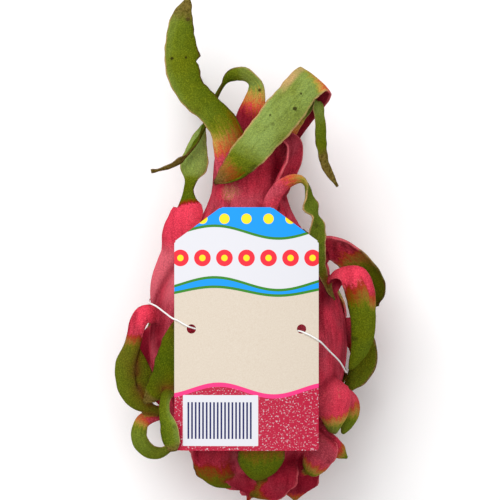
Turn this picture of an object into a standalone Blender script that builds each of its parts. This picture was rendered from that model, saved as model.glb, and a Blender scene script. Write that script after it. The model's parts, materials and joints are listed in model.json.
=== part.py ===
"""A dragon fruit lying on its back, with a card tag held on it by a loop of thin elastic.

Frame: metres, +Z up, +Y from the stem end to the crown of long scales, +X to the right when
the fruit is seen from above with its crown away from the viewer. The origin is in the flat
spot under the belly, which the fruit rests on. The tables below are in millimetres.
"""

import math

import bmesh
import bpy
from mathutils import Vector

MM = 0.001

# Body: a teardrop turned about +Y, from the cut stem to the hollow inside the crown, and a
# little narrower than it is high
BELLY_RADIUS = 43.0
FLAT_SPOT_DEPTH = 1.2
AXIS_HEIGHT = BELLY_RADIUS - FLAT_SPOT_DEPTH
BODY_SQUASH = 0.966
STEM_OUTLINE = [(-56.0, 0.0), (-56.0, 2.8), (-55.3, 3.5), (-52.2, 3.9), (-52.4, 6.0)]
BODY_OUTLINE = [
    (-53.6, 8.6),
    (-51.4, 12.6),
    (-46.0, 18.4),
    (-39.0, 23.6),
    (-30.0, 29.4),
    (-20.0, 35.2),
    (-9.0, 40.6),
    (4.0, BELLY_RADIUS),
    (16.0, 42.4),
    (27.0, 39.6),
    (37.0, 35.2),
    (46.0, 29.8),
    (55.0, 24.2),
    (64.0, 18.8),
    (74.0, 15.8),
    (84.0, 14.8),
    (92.0, 13.2),
]
CROWN_OUTLINE = [(97.0, 10.6), (99.0, 7.8), (97.0, 4.2), (96.0, 0.0)]
BODY_SIDES = 40
OUTLINE_STEPS = 2

# Ribs: the feet of old scales run down the neck as folds, and swell the belly a little
NECK_RIBS = 5
NECK_RIB_DEPTH = 0.1
NECK_START, NECK_FULL = 44.0, 72.0
BELLY_LOBES = 4
BELLY_LOBE_DEPTH = 0.014

# Scales: each station is (x, y, z, width). "across" gives, by station, which way the width
# lies. "cup" is half the angle that the blade's section turns through, in degrees, and it is
# positive where the outer face bulges. "thick" is the thickness at the root and at the tip.
EDGE_THICKNESS = 0.7
SECTION_STEPS = (-1.0, -0.4, 0.4, 1.0)
RING_SPACING = 5.6
LEAST_RINGS = 5
LEAST_SHELL_FACES = 100

CROWN_SCALES = {
    "crown_tall": {
        "stations": [
            (-4.6, 68.0, 50.0, 13.0),
            (-5.8, 79.0, 57.0, 14.0),
            (-7.2, 89.6, 60.6, 14.2),
            (-9.8, 97.8, 61.8, 12.8),
            (-14.8, 104.2, 62.6, 11.2),
            (-20.8, 109.8, 62.8, 12.4),
            (-25.4, 115.8, 62.2, 13.2),
            (-27.4, 123.6, 60.8, 13.8),
            (-27.9, 132.0, 59.0, 13.2),
            (-28.1, 139.0, 57.4, 11.4),
            (-27.0, 145.6, 56.0, 7.8),
            (-25.6, 149.6, 55.0, 4.6),
            (-24.6, 151.6, 54.5, 1.4),
        ],
        "across": {0: (1.0, 0.0, 0.0), 2: (0.95, 0.3, 0.0), 4: (0.66, 0.75, 0.1), 6: (0.88, 0.45, 0.1), 8: (1.0, 0.1, 0.0)},
        "cup": 22.0,
        "thick": (3.4, 1.2),
    },
    "crown_loop": {
        "stations": [
            (-2.0, 86.0, 46.0, 12.0),
            (-1.4, 95.0, 51.0, 11.8),
            (0.6, 102.6, 54.0, 11.6),
            (2.6, 109.4, 56.2, 9.8),
            (3.0, 115.4, 57.4, 8.2),
            (-0.2, 119.3, 57.5, 7.2),
            (-4.8, 119.9, 56.5, 6.4),
            (-9.0, 117.6, 54.5, 5.2),
            (-12.4, 112.6, 52.0, 4.0),
            (-15.2, 106.0, 49.8, 3.6),
            (-17.8, 99.4, 49.0, 4.0),
            (-20.8, 93.2, 49.5, 4.4),
            (-24.6, 87.8, 49.0, 4.4),
            (-28.8, 83.8, 48.4, 4.0),
            (-33.8, 81.6, 47.4, 3.0),
            (-40.5, 79.8, 46.0, 1.0),
        ],
        "across": {
            0: (1.0, 0.0, 0.1),
            3: (0.85, -0.2, 0.5),
            6: (0.1, 0.75, 0.65),
            9: (0.5, 0.2, 0.85),
            14: (0.35, 0.6, 0.7),
        },
        "cup": 18.0,
        "thick": (2.6, 1.1),
    },
    "crown_folded": {
        "stations": [
            (11.0, 78.0, 43.0, 11.5),
            (13.0, 88.0, 48.0, 11.6),
            (16.6, 96.5, 52.0, 11.6),
            (22.0, 104.6, 57.0, 12.6),
            (27.2, 111.2, 62.5, 13.6),
            (28.8, 115.9, 68.5, 14.2),
            (26.6, 117.5, 73.6, 14.6),
            (23.0, 114.6, 76.4, 15.0),
            (17.9, 108.0, 77.2, 15.4),
            (11.6, 100.2, 75.8, 15.4),
            (5.2, 92.6, 73.4, 15.0),
            (-1.0, 85.6, 70.8, 13.2),
            (-6.8, 79.8, 68.4, 10.0),
            (-11.0, 76.6, 66.8, 5.6),
            (-13.8, 75.0, 66.0, 1.0),
        ],
        "across": {0: (0.7, -0.6, -0.3), 3: (0.76, -0.65, 0.0)},
        "cup": -16.0,
        "thick": (3.0, 1.2),
    },
    "crown_strip": {
        "stations": [
            (10.0, 84.0, 49.0, 6.4),
            (15.4, 92.8, 58.0, 6.2),
            (20.4, 101.0, 64.0, 5.6),
            (25.0, 107.0, 67.0, 5.2),
            (28.0, 108.6, 68.0, 5.0),
            (29.4, 105.2, 67.6, 5.0),
            (30.0, 99.2, 66.0, 4.9),
            (30.4, 92.0, 63.8, 4.5),
            (31.4, 85.0, 61.0, 4.0),
            (33.8, 79.0, 58.4, 3.2),
            (37.3, 73.6, 56.0, 1.0),
        ],
        "across": {0: (0.6, -0.8, 0.0), 3: (0.5, -0.5, -0.7), 6: (0.9, 0.1, -0.35)},
        "cup": -20.0,
        "thick": (2.2, 1.1),
    },
    "neck_lobe": {
        "stations": [
            (8.0, 60.0, 44.0, 12.0),
            (10.4, 69.0, 51.0, 13.4),
            (14.6, 77.6, 56.5, 13.8),
            (17.8, 85.8, 61.0, 12.6),
            (17.4, 91.2, 64.2, 10.2),
            (14.0, 92.8, 64.6, 7.0),
            (11.0, 91.0, 63.0, 2.4),
        ],
        "across": {0: (0.6, 0.0, -0.8), 4: (0.5, 0.3, -0.8)},
        "cup": -34.0,
        "thick": (4.6, 1.8),
    },
    "neck_droop": {
        "stations": [
            (6.6, 55.6, 57.0, 6.0),
            (8.6, 63.6, 61.6, 6.6),
            (11.6, 70.4, 64.4, 6.2),
            (16.4, 75.0, 66.0, 5.8),
            (21.4, 76.2, 66.2, 5.2),
            (24.2, 74.0, 65.6, 4.8),
            (25.1, 69.6, 65.0, 5.4),
            (25.6, 65.4, 64.6, 7.0),
            (27.6, 61.4, 64.0, 4.8),
            (28.6, 56.6, 63.2, 7.2),
            (28.4, 50.6, 62.0, 7.4),
            (29.2, 43.4, 60.6, 5.8),
            (31.4, 36.6, 59.4, 4.0),
            (33.8, 31.0, 58.6, 2.8),
            (36.2, 26.4, 57.8, 0.9),
        ],
        "across": {
            0: (0.8, -0.5, 0.0),
            4: (0.4, -0.7, -0.6),
            5: (0.2, -0.2, -0.95),
            7: (0.9, 0.1, -0.4),
            8: (0.5, 0.2, -0.85),
            9: (0.95, 0.2, -0.2),
        },
        "cup": 24.0,
        "thick": (3.2, 1.1),
    },
    "neck_stub": {
        "stations": [
            (-35.2, 19.0, 45.0, 18.0),
            (-35.2, 32.0, 47.0, 17.8),
            (-31.6, 44.6, 50.0, 15.0),
            (-31.0, 53.0, 51.4, 13.8),
            (-28.2, 59.6, 51.8, 13.4),
            (-25.4, 63.6, 51.2, 12.8),
            (-25.6, 67.4, 50.0, 8.4),
            (-25.4, 72.0, 48.4, 6.4),
            (-24.2, 76.4, 46.8, 6.6),
            (-23.2, 81.6, 45.0, 11.0),
            (-22.4, 86.0, 43.6, 10.6),
            (-21.0, 92.6, 42.2, 7.4),
            (-18.6, 99.6, 41.2, 1.4),
        ],
        "across": {0: (0.75, 0.0, 0.65), 3: (0.85, 0.0, 0.5), 5: (0.95, -0.2, 0.2), 7: (0.6, 0.2, 0.75), 9: (0.97, 0.1, 0.1)},
        "cup": 38.0,
        "thick": (5.0, 1.4),
    },
    "back_leaf_left": {
        "stations": [
            (-6.0, 80.0, 34.0, 8.0),
            (-8.5, 92.0, 29.0, 9.0),
            (-13.5, 102.0, 23.5, 9.0),
            (-20.0, 110.5, 16.5, 8.6),
            (-24.6, 118.5, 9.6, 7.0),
            (-26.6, 126.0, 5.0, 4.0),
            (-27.2, 130.5, 3.2, 1.2),
        ],
        "across": {0: (-1.0, -0.4, 0.0)},
        "cup": 24.0,
        "thick": (3.0, 1.2),
    },
    "back_leaf_right": {
        "stations": [
            (4.0, 74.0, 33.0, 8.0),
            (9.0, 86.0, 26.0, 9.5),
            (14.0, 96.0, 19.0, 9.5),
            (18.5, 104.0, 11.5, 8.0),
            (21.5, 110.0, 5.5, 5.0),
            (23.0, 113.5, 2.6, 1.2),
        ],
        "across": {0: (-0.9, 0.45, 0.0)},
        "cup": 24.0,
        "thick": (3.0, 1.2),
    },
}

SIDE_SCALES = {
    "right_arch": {
        "stations": [
            (25.0, 35.6, 42.0, 12.0),
            (28.6, 46.0, 45.5, 13.6),
            (32.2, 49.6, 47.5, 14.2),
            (38.2, 48.6, 48.0, 14.6),
            (45.2, 44.0, 46.0, 14.8),
            (51.2, 37.8, 42.5, 14.2),
            (53.8, 31.6, 38.5, 12.0),
            (52.8, 27.0, 34.5, 8.0),
            (52.0, 25.0, 31.5, 5.0),
            (50.4, 24.6, 29.5, 1.2),
        ],
        "across": {
            0: (-0.55, 0.35, 0.75),
            3: (0.1, 0.7, 0.7),
            5: (0.55, 0.4, 0.7),
            9: (0.7, 0.0, 0.7),
        },
        "cup": 46.0,
        "thick": (3.8, 1.4),
    },
    "right_hook": {
        "stations": [
            (31.0, 26.0, 50.0, 9.0),
            (34.4, 33.4, 56.5, 9.4),
            (38.4, 37.8, 62.0, 10.2),
            (42.4, 38.2, 65.6, 11.4),
            (45.4, 34.0, 67.0, 12.0),
            (47.4, 26.4, 66.2, 11.8),
            (48.3, 18.0, 63.8, 11.2),
            (48.2, 10.4, 61.0, 9.8),
            (46.8, 4.4, 58.4, 7.8),
            (44.4, 0.2, 56.4, 5.0),
            (42.2, -2.6, 55.0, 1.0),
        ],
        "across": {0: (0.8, 0.3, -0.4), 4: (0.95, 0.25, -0.15), 8: (0.95, 0.2, -0.25)},
        "cup": -46.0,
        "thick": (4.6, 1.8),
    },
    "right_under": {
        "stations": [
            (34.0, 10.0, 30.0, 10.0),
            (40.2, 12.6, 33.0, 12.0),
            (45.6, 9.8, 35.8, 14.4),
            (47.8, 3.0, 37.4, 14.4),
            (46.2, -4.0, 37.6, 12.2),
            (42.8, -9.4, 37.0, 7.6),
            (40.6, -13.4, 36.4, 1.2),
        ],
        "across": {0: (0.8, 0.4, 0.4), 3: (0.75, -0.1, 0.65)},
        "cup": -30.0,
        "thick": (3.8, 1.5),
    },
    "right_bulge": {
        "stations": [
            (24.6, -3.4, 55.0, 15.0),
            (30.2, -6.6, 62.4, 16.8),
            (33.0, -10.0, 65.0, 18.6),
            (34.4, -14.0, 64.8, 18.4),
            (36.0, -19.4, 61.6, 15.0),
            (36.4, -24.6, 57.4, 10.6),
            (35.4, -29.2, 52.6, 4.0),
        ],
        "across": {0: (0.9, 0.2, -0.35), 3: (0.93, 0.0, -0.3)},
        "cup": -48.0,
        "thick": (6.0, 2.0),
    },
    "right_small": {
        "stations": [
            (33.0, -11.0, 42.0, 8.0),
            (39.8, -12.4, 47.5, 9.2),
            (43.2, -17.0, 49.6, 9.2),
            (43.4, -22.8, 48.4, 8.4),
            (41.6, -27.0, 45.8, 5.6),
            (39.8, -29.8, 43.6, 1.4),
        ],
        "across": {0: (0.8, 0.3, -0.5), 3: (0.85, -0.1, -0.5)},
        "cup": -40.0,
        "thick": (4.2, 1.6),
    },
    "left_hook": {
        "stations": [
            (-32.0, 16.6, 46.4, 9.0),
            (-35.6, 19.8, 52.4, 9.4),
            (-39.2, 20.8, 57.0, 8.8),
            (-43.2, 20.6, 59.4, 8.0),
            (-46.0, 16.8, 60.6, 7.4),
            (-47.3, 11.2, 61.0, 6.8),
            (-48.9, 5.8, 60.8, 7.2),
            (-51.2, -1.0, 60.2, 8.8),
            (-50.8, -9.3, 58.8, 9.0),
            (-47.4, -15.2, 57.2, 7.8),
            (-42.6, -18.6, 55.2, 5.8),
            (-37.9, -20.2, 54.0, 3.8),
            (-34.2, -21.6, 53.0, 1.0),
        ],
        "across": {0: (0.6, -0.6, 0.5), 2: (0.3, -0.9, 0.3), 4: (0.85, -0.4, 0.3), 7: (0.95, 0.0, 0.3), 9: (0.75, 0.6, 0.3), 11: (0.3, 0.9, 0.3)},
        "cup": -38.0,
        "thick": (4.4, 1.7),
    },
    "left_inner": {
        "stations": [
            (-48.8, 9.4, 59.6, 4.4),
            (-47.2, 4.0, 59.2, 6.4),
            (-45.0, -1.8, 58.6, 8.0),
            (-43.2, -7.4, 57.6, 8.2),
            (-42.0, -12.8, 56.6, 6.2),
            (-41.0, -16.8, 55.6, 1.4),
        ],
        "across": {0: (0.95, 0.25, -0.2)},
        "cup": -26.0,
        "thick": (2.6, 1.1),
    },
    "left_front": {
        "stations": [
            (-24.6, 20.4, 67.0, 8.0),
            (-27.2, 15.0, 73.2, 10.0),
            (-29.8, 8.0, 75.4, 12.4),
            (-32.2, 0.6, 73.8, 13.6),
            (-34.8, -5.6, 70.6, 12.8),
            (-38.2, -10.8, 66.8, 9.4),
            (-41.2, -14.2, 63.6, 5.0),
            (-43.0, -16.2, 61.6, 1.4),
        ],
        "across": {0: (0.9, -0.35, 0.25), 4: (0.8, -0.6, 0.25)},
        "cup": -22.0,
        "thick": (3.4, 1.5),
    },
    "left_ring": {
        "stations": [
            (-27.0, -19.0, 43.0, 7.0),
            (-33.4, -20.2, 48.0, 6.4),
            (-39.4, -21.2, 51.8, 6.2),
            (-44.2, -24.2, 54.0, 6.6),
            (-45.9, -29.4, 54.8, 7.0),
            (-44.7, -34.2, 54.0, 7.0),
            (-41.0, -37.6, 52.0, 6.4),
            (-36.6, -38.0, 50.0, 5.2),
            (-33.0, -36.2, 48.4, 3.4),
            (-30.4, -33.6, 47.0, 1.0),
        ],
        "across": {0: (0.1, -0.9, 0.35), 2: (0.3, -0.85, 0.4), 4: (0.93, 0.0, 0.35), 7: (0.1, 0.93, 0.35)},
        "cup": -44.0,
        "thick": (4.0, 1.6),
    },
    "left_corner": {
        "stations": [
            (-26.0, -8.0, 52.0, 7.0),
            (-30.8, -10.0, 66.0, 5.8),
            (-33.5, -13.0, 77.0, 4.6),
            (-34.2, -16.6, 83.6, 4.4),
            (-33.8, -20.6, 87.2, 5.0),
            (-32.4, -24.8, 88.4, 6.8),
            (-31.6, -29.0, 88.2, 7.2),
            (-31.0, -32.4, 87.4, 6.2),
            (-30.6, -35.2, 87.0, 3.0),
        ],
        "across": {0: (0.9, -0.3, 0.2), 4: (0.99, 0.1, 0.1)},
        "cup": -16.0,
        "thick": (3.0, 1.1),
    },
    "left_under": {
        "stations": [
            (-34.0, 15.0, 34.0, 12.0),
            (-40.0, 11.0, 37.0, 14.0),
            (-43.0, 3.6, 39.4, 14.6),
            (-42.4, -4.4, 41.0, 12.6),
            (-39.6, -11.4, 42.0, 8.6),
            (-36.8, -17.6, 42.4, 2.0),
        ],
        "across": {0: (0.6, 0.1, 0.8), 3: (0.6, -0.1, 0.8)},
        "cup": 30.0,
        "thick": (5.0, 1.6),
    },
}

STEM_SCALES = {
    "stem_tongue": {
        "stations": [
            (6.2, -20.0, 66.0, 17.0),
            (5.9, -31.0, 74.4, 18.6),
            (5.5, -38.4, 75.0, 18.6),
            (5.0, -43.2, 71.4, 17.4),
            (4.6, -46.0, 67.4, 14.0),
            (4.4, -47.8, 64.0, 8.6),
            (4.4, -48.6, 61.8, 3.0),
        ],
        "across": {0: (1.0, 0.0, 0.0)},
        "cup": -36.0,
        "thick": (3.6, 1.2),
    },
    "stem_left": {
        "stations": [
            (-11.6, -22.0, 60.0, 16.0),
            (-13.8, -33.0, 68.6, 17.4),
            (-14.2, -40.0, 68.6, 18.0),
            (-13.4, -45.4, 64.0, 17.0),
            (-11.6, -49.0, 59.0, 13.0),
            (-9.2, -51.0, 55.4, 7.4),
            (-7.6, -51.8, 53.6, 2.0),
        ],
        "across": {0: (1.0, 0.1, 0.0)},
        "cup": -30.0,
        "thick": (3.6, 1.2),
    },
    "stem_right": {
        "stations": [
            (22.0, -24.6, 46.0, 11.0),
            (29.4, -30.6, 53.0, 10.8),
            (34.8, -34.6, 52.2, 8.8),
            (38.8, -37.6, 48.6, 5.8),
            (41.4, -39.9, 44.8, 1.2),
        ],
        "across": {0: (0.6, 0.75, -0.2)},
        "cup": -30.0,
        "thick": (3.6, 1.2),
    },
    "stem_fold": {
        "stations": [
            (22.0, -23.0, 52.0, 13.0),
            (29.8, -33.8, 59.4, 14.2),
            (28.8, -40.0, 57.8, 12.4),
            (26.2, -44.6, 53.8, 9.4),
            (24.6, -46.8, 50.2, 2.4),
        ],
        "across": {0: (0.85, -0.5, 0.0)},
        "cup": -30.0,
        "thick": (3.6, 1.2),
    },
    "ruffle_left": {
        "stations": [
            (-3.6, -38.0, 52.0, 13.0),
            (-3.2, -47.6, 60.0, 13.8),
            (-0.6, -51.8, 57.6, 9.6),
            (1.2, -54.2, 54.8, 5.6),
            (0.8, -56.2, 52.4, 3.0),
            (0.0, -57.4, 51.0, 1.0),
        ],
        "across": {0: (1.0, 0.0, 0.1)},
        "cup": -24.0,
        "thick": (3.0, 1.1),
    },
    "ruffle_middle": {
        "stations": [
            (11.8, -34.0, 52.0, 18.0),
            (11.6, -45.6, 61.6, 19.6),
            (8.8, -51.6, 60.4, 15.6),
            (5.0, -54.4, 57.0, 8.6),
            (1.6, -55.8, 54.4, 2.0),
        ],
        "across": {0: (0.95, -0.35, 0.0)},
        "cup": -26.0,
        "thick": (3.0, 1.1),
    },
    "ruffle_right": {
        "stations": [
            (18.0, -33.0, 42.0, 18.0),
            (21.6, -44.2, 50.4, 18.8),
            (22.6, -50.2, 49.4, 18.6),
            (21.6, -54.6, 46.0, 13.8),
            (20.0, -57.5, 43.6, 3.6),
        ],
        "across": {0: (0.85, 0.1, -0.5)},
        "cup": -28.0,
        "thick": (3.0, 1.1),
    },
}

# Hugging scales: short ones on the lower half, by rows of (root's y, angles round the body).
# 0 degrees is +X, 90 is up, and 270 is the floor.
HUGGING_ROWS = [
    (-46.0, (216.0, 262.0, 314.0)),
    (-38.0, (206.0, 238.0, 288.0, 334.0)),
    (-24.0, (214.0, 252.0, 296.0, 328.0)),
    (-2.0, (200.0, 234.0)),
    (14.0, (338.0,)),
    (34.0, (204.0, 238.0, 276.0, 310.0, 336.0)),
    (54.0, (250.0, 290.0)),
]
HUGGING_LENGTH = 24.0
HUGGING_WIDTH = 15.0
HUGGING_LIFT = 11.0
HUGGING_SHAPE = [(-0.22, -0.5, 0.8), (0.1, 0.1, 1.0), (0.4, 0.42, 1.0), (0.7, 0.85, 0.78), (0.86, 1.2, 0.45), (0.9, 1.45, 0.1)]
HUGGING_CUP = 24.0
HUGGING_THICK = (4.0, 1.5)
LEAST_FLOOR_GAP = 1.4

# Tag: a card with cut top corners and two string holes, bowed a little over the belly
TAG_WIDTH = 59.0
TAG_LENGTH = 99.4
TAG_CORNER_X, TAG_CORNER_Y = 19.0, 14.0
TAG_THICKNESS = 0.6
TAG_CENTRE = (-0.6, 14.8)
TAG_BOW_RADIUS = 200.0
TAG_STRIPS = 12
TAG_GAP = 1.7
TAG_TOP = AXIS_HEIGHT + BELLY_RADIUS + TAG_GAP + TAG_THICKNESS
HOLE_SPACING = 45.0
HOLE_DIAMETER = 3.8

# String: one closed loop. It goes round the fruit and up through both holes of the tag
STRING_DIAMETER = 0.7
STRING_STEPS = 2
STRING_ROUTE = [
    (0.0, 14.4, 85.6),
    (-10.0, 14.3, 85.4),
    (-17.5, 14.4, 84.8),
    (-21.0, 14.8, 84.6),
    (-22.9, 15.3, 85.5),
    (-24.3, 15.8, 86.5),
    (-26.4, 16.9, 86.4),
    (-28.8, 18.3, 86.0),
    (-31.0, 19.2, 84.4),
    (-34.2, 21.4, 78.6),
    (-37.8, 23.8, 70.0),
    (-40.8, 25.0, 61.5),
    (-42.8, 25.4, 53.0),
    (-43.2, 25.8, 44.0),
    (-41.0, 26.4, 32.4),
    (-34.2, 27.4, 20.4),
    (-24.2, 28.0, 9.4),
    (-12.2, 28.0, 3.0),
    (0.0, 27.2, 1.4),
    (11.8, 22.8, 2.0),
    (24.2, 14.0, 5.7),
    (33.8, 5.4, 13.5),
    (39.4, -0.6, 23.4),
    (41.0, -3.6, 33.6),
    (42.3, -4.4, 43.0),
    (41.2, -4.0, 52.6),
    (38.0, 0.8, 64.4),
    (33.2, 5.8, 75.4),
    (30.4, 8.8, 83.4),
    (28.4, 10.4, 86.0),
    (25.8, 12.0, 86.5),
    (23.4, 13.1, 86.6),
    (21.9, 13.7, 85.6),
    (20.4, 14.0, 84.7),
    (16.6, 14.2, 84.9),
    (9.6, 14.4, 85.4),
]


def smooth(low, high, value):
    """0 below low, 1 above high, and an even slope between."""
    t = min(max((value - low) / (high - low), 0.0), 1.0)
    return t * t * (3.0 - 2.0 * t)


def curve_through(points, steps, closed=False):
    """Points on a smooth curve through the given ones, steps of them to each stretch."""
    count = len(points)

    def control(i):
        return points[i % count] if closed else points[min(max(i, 0), count - 1)]

    made = []
    for i in range(count if closed else count - 1):
        before, start, end, after = (control(i + k) for k in (-1, 0, 1, 2))
        for step in range(steps):
            t = step / steps
            made.append(
                tuple(
                    0.5 * (2 * b + t * (c - a) + t * t * (2 * a - 5 * b + 4 * c - d)
                           + t * t * t * (3 * b - a - 3 * c + d))
                    for a, b, c, d in zip(before, start, end, after)
                )
            )
    if not closed:
        made.append(tuple(points[-1]))
    return made


def evenly_spaced(line, count):
    """count points at even distances along a line, reading every value of each point."""
    reach = [0.0]
    for a, b in zip(line, line[1:]):
        reach.append(reach[-1] + math.dist(a[:3], b[:3]))
    made, i = [], 0
    for k in range(count):
        wanted = reach[-1] * k / (count - 1)
        while i < len(line) - 2 and reach[i + 1] < wanted:
            i += 1
        t = (wanted - reach[i]) / max(reach[i + 1] - reach[i], 1e-9)
        made.append(tuple(a + t * (b - a) for a, b in zip(line[i], line[i + 1])))
    return made


def body_radius(y):
    """The body's radius at y, before its ribs."""
    for (y0, r0), (y1, r1) in zip(BODY_OUTLINE, BODY_OUTLINE[1:]):
        if y <= y1:
            return r0 + (r1 - r0) * min(max((y - y0) / (y1 - y0), 0.0), 1.0)
    return BODY_OUTLINE[-1][1]


def rib_factor(y, angle):
    """How far the ribs and lobes push the surface out, as a share of its radius."""
    neck = smooth(NECK_START, NECK_FULL, y)
    belly = smooth(-50.0, -20.0, y) * (1.0 - neck)
    sway = 0.5 * math.sin(0.09 * y + 2.0 * angle) + 0.03 * (y - 60.0)
    valley = (1.0 - abs(math.sin(0.5 * NECK_RIBS * angle + 0.018 * y + sway))) ** 2.2
    lobes = math.cos(BELLY_LOBES * angle)
    return 1.0 - neck * NECK_RIB_DEPTH * valley + belly * BELLY_LOBE_DEPTH * (lobes - 1.0)


def mesh_object(name, bm, collection):
    """A new object that holds the bmesh's faces, turned outwards."""
    bmesh.ops.recalc_face_normals(bm, faces=bm.faces)
    mesh = bpy.data.meshes.new(name)
    bm.to_mesh(mesh)
    bm.free()
    obj = bpy.data.objects.new(name, mesh)
    collection.objects.link(obj)
    return obj


def material(name, colour, roughness):
    made = bpy.data.materials.new(name)
    made.use_nodes = True
    shader = made.node_tree.nodes["Principled BSDF"]
    shader.inputs["Base Color"].default_value = (*colour, 1.0)
    shader.inputs["Roughness"].default_value = roughness
    shader.inputs["Metallic"].default_value = 0.0
    return made


def new_collection(name):
    made = bpy.data.collections.new(name)
    bpy.context.scene.collection.children.link(made)
    return made


def make_body(collection):
    """The turned body, with its ribs raised by a formula."""
    soft = curve_through(BODY_OUTLINE, OUTLINE_STEPS)
    profile = STEM_OUTLINE + soft + CROWN_OUTLINE
    mesh = bpy.data.meshes.new("outline")
    mesh.from_pydata(
        [(r * MM, y * MM, 0.0) for y, r in profile],
        [(i, i + 1) for i in range(len(profile) - 1)],
        [],
    )
    outline = bpy.data.objects.new("outline", mesh)
    collection.objects.link(outline)
    screw = outline.modifiers.new("turn", "SCREW")
    screw.axis = "Y"
    screw.steps = BODY_SIDES
    screw.render_steps = BODY_SIDES
    screw.use_merge_vertices = True
    screw.merge_threshold = 0.00001
    turned = applied(outline)
    bpy.data.objects.remove(outline)
    bm = bmesh.new()
    bm.from_mesh(turned)
    bpy.data.meshes.remove(turned)
    bmesh.ops.remove_doubles(bm, verts=bm.verts, dist=0.00001)
    for vert in bm.verts:
        angle = math.atan2(vert.co.z, vert.co.x)
        factor = rib_factor(vert.co.y / MM, angle)
        vert.co.x *= factor * BODY_SQUASH
        vert.co.z = vert.co.z * factor + AXIS_HEIGHT * MM
    return mesh_object("dragon_fruit", bm, collection)


def across_at(across, place):
    """The width's direction at a place counted in stations, between those that are given."""
    keys = sorted(across)
    if place <= keys[0]:
        return Vector(across[keys[0]])
    for low, high in zip(keys, keys[1:]):
        if place <= high:
            return Vector(across[low]).lerp(Vector(across[high]), (place - low) / (high - low))
    return Vector(across[keys[-1]])


def section_offsets(width, cup, thickness):
    """(along the width, along the normal) of the points round one section of a blade."""
    half_angle = math.radians(max(abs(cup), 1.0))
    radius = 0.5 * width / math.sin(half_angle)
    side = 1.0 if cup >= 0 else -1.0
    rows = []
    for face, steps in ((1.0, SECTION_STEPS), (-1.0, SECTION_STEPS[::-1])):
        for v in steps:
            turn = v * half_angle
            half = 0.5 * (EDGE_THICKNESS + (thickness - EDGE_THICKNESS) * math.sqrt(1.0 - v * v))
            middle = (radius * math.sin(turn), side * radius * (math.cos(turn) - 1.0))
            normal = (side * math.sin(turn), math.cos(turn))
            rows.append((middle[0] + face * half * normal[0], middle[1] + face * half * normal[1]))
    return rows


def make_blade(name, scale, collection):
    """A scale lofted through its stations, closed at both ends."""
    stations = scale["stations"]
    places = [(*station, float(i)) for i, station in enumerate(stations)]
    fine = curve_through(places, 6)
    length = sum(math.dist(a[:3], b[:3]) for a, b in zip(fine, fine[1:]))
    rings = max(LEAST_RINGS, round(length / RING_SPACING) + 1)
    points = evenly_spaced(fine, rings)
    bm = bmesh.new()
    loops = []
    for i, (x, y, z, width, place) in enumerate(points):
        before, after = points[max(i - 1, 0)], points[min(i + 1, rings - 1)]
        tangent = (Vector(after[:3]) - Vector(before[:3])).normalized()
        wide = across_at(scale["across"], place)
        wide = (wide - tangent * wide.dot(tangent)).normalized()
        normal = wide.cross(tangent)
        root, tip = scale["thick"]
        thickness = root + (tip - root) * i / (rings - 1)
        centre = Vector((x, y, z))
        offsets = section_offsets(max(width, 1.0), scale["cup"], min(thickness, 0.9 * max(width, 1.4)))
        loops.append([bm.verts.new((centre + wide * a + normal * b) * MM) for a, b in offsets])
    for lower, upper in zip(loops, loops[1:]):
        for k in range(len(lower)):
            following = (k + 1) % len(lower)
            bm.faces.new((lower[k], lower[following], upper[following], upper[k]))
    bm.faces.new(loops[0][::-1])
    bm.faces.new(loops[-1])
    return mesh_object(name, bm, collection)


def hugging_scale(root_y, degrees):
    """A short scale along the body. It lifts only as far as the floor and the outline allow."""
    angle = math.radians(degrees)
    stations = []
    for along, lift, width in HUGGING_SHAPE:
        y = root_y + along * HUGGING_LENGTH
        radius = body_radius(y)
        beside = radius * (1.0 / max(abs(math.cos(angle)), 0.2) - 1.0)
        below = (AXIS_HEIGHT - LEAST_FLOOR_GAP) / max(-math.sin(angle), 0.05) - radius
        raised = min(lift * HUGGING_LIFT, beside, below)
        reach = radius + raised
        x, z = reach * math.cos(angle) * BODY_SQUASH, AXIS_HEIGHT + reach * math.sin(angle)
        stations.append((x, y, z, width * HUGGING_WIDTH))
    return {
        "stations": stations,
        "across": {0: (math.sin(angle), 0.0, -math.cos(angle))},
        "cup": HUGGING_CUP,
        "thick": HUGGING_THICK,
    }


def applied(obj):
    """A new mesh of what the object's modifiers make of it."""
    return bpy.data.meshes.new_from_object(obj.evaluated_get(bpy.context.evaluated_depsgraph_get()))


def boolean(obj, operation, solver, operands):
    """Joins a whole collection to the object, or cuts it away, and applies that."""
    step = obj.modifiers.new("boolean", "BOOLEAN")
    step.operation = operation
    step.operand_type = "COLLECTION"
    step.collection = operands
    step.solver = solver
    mesh = applied(obj)
    obj.modifiers.clear()
    obj.data = mesh
    for operand in list(operands.objects):
        bpy.data.objects.remove(operand)
    bpy.data.collections.remove(operands)


def drop_crumbs(bm, least_faces):
    """Removes loose slivers that a join leaves between two crossing scales."""
    seen = set()
    for start in bm.faces[:]:
        if start in seen:
            continue
        seen.add(start)
        shell, stack = [], [start]
        while stack:
            face = stack.pop()
            shell.append(face)
            for edge in face.edges:
                for other in edge.link_faces:
                    if other not in seen:
                        seen.add(other)
                        stack.append(other)
        if len(shell) < least_faces:
            bmesh.ops.delete(bm, geom=shell, context="FACES")


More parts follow.
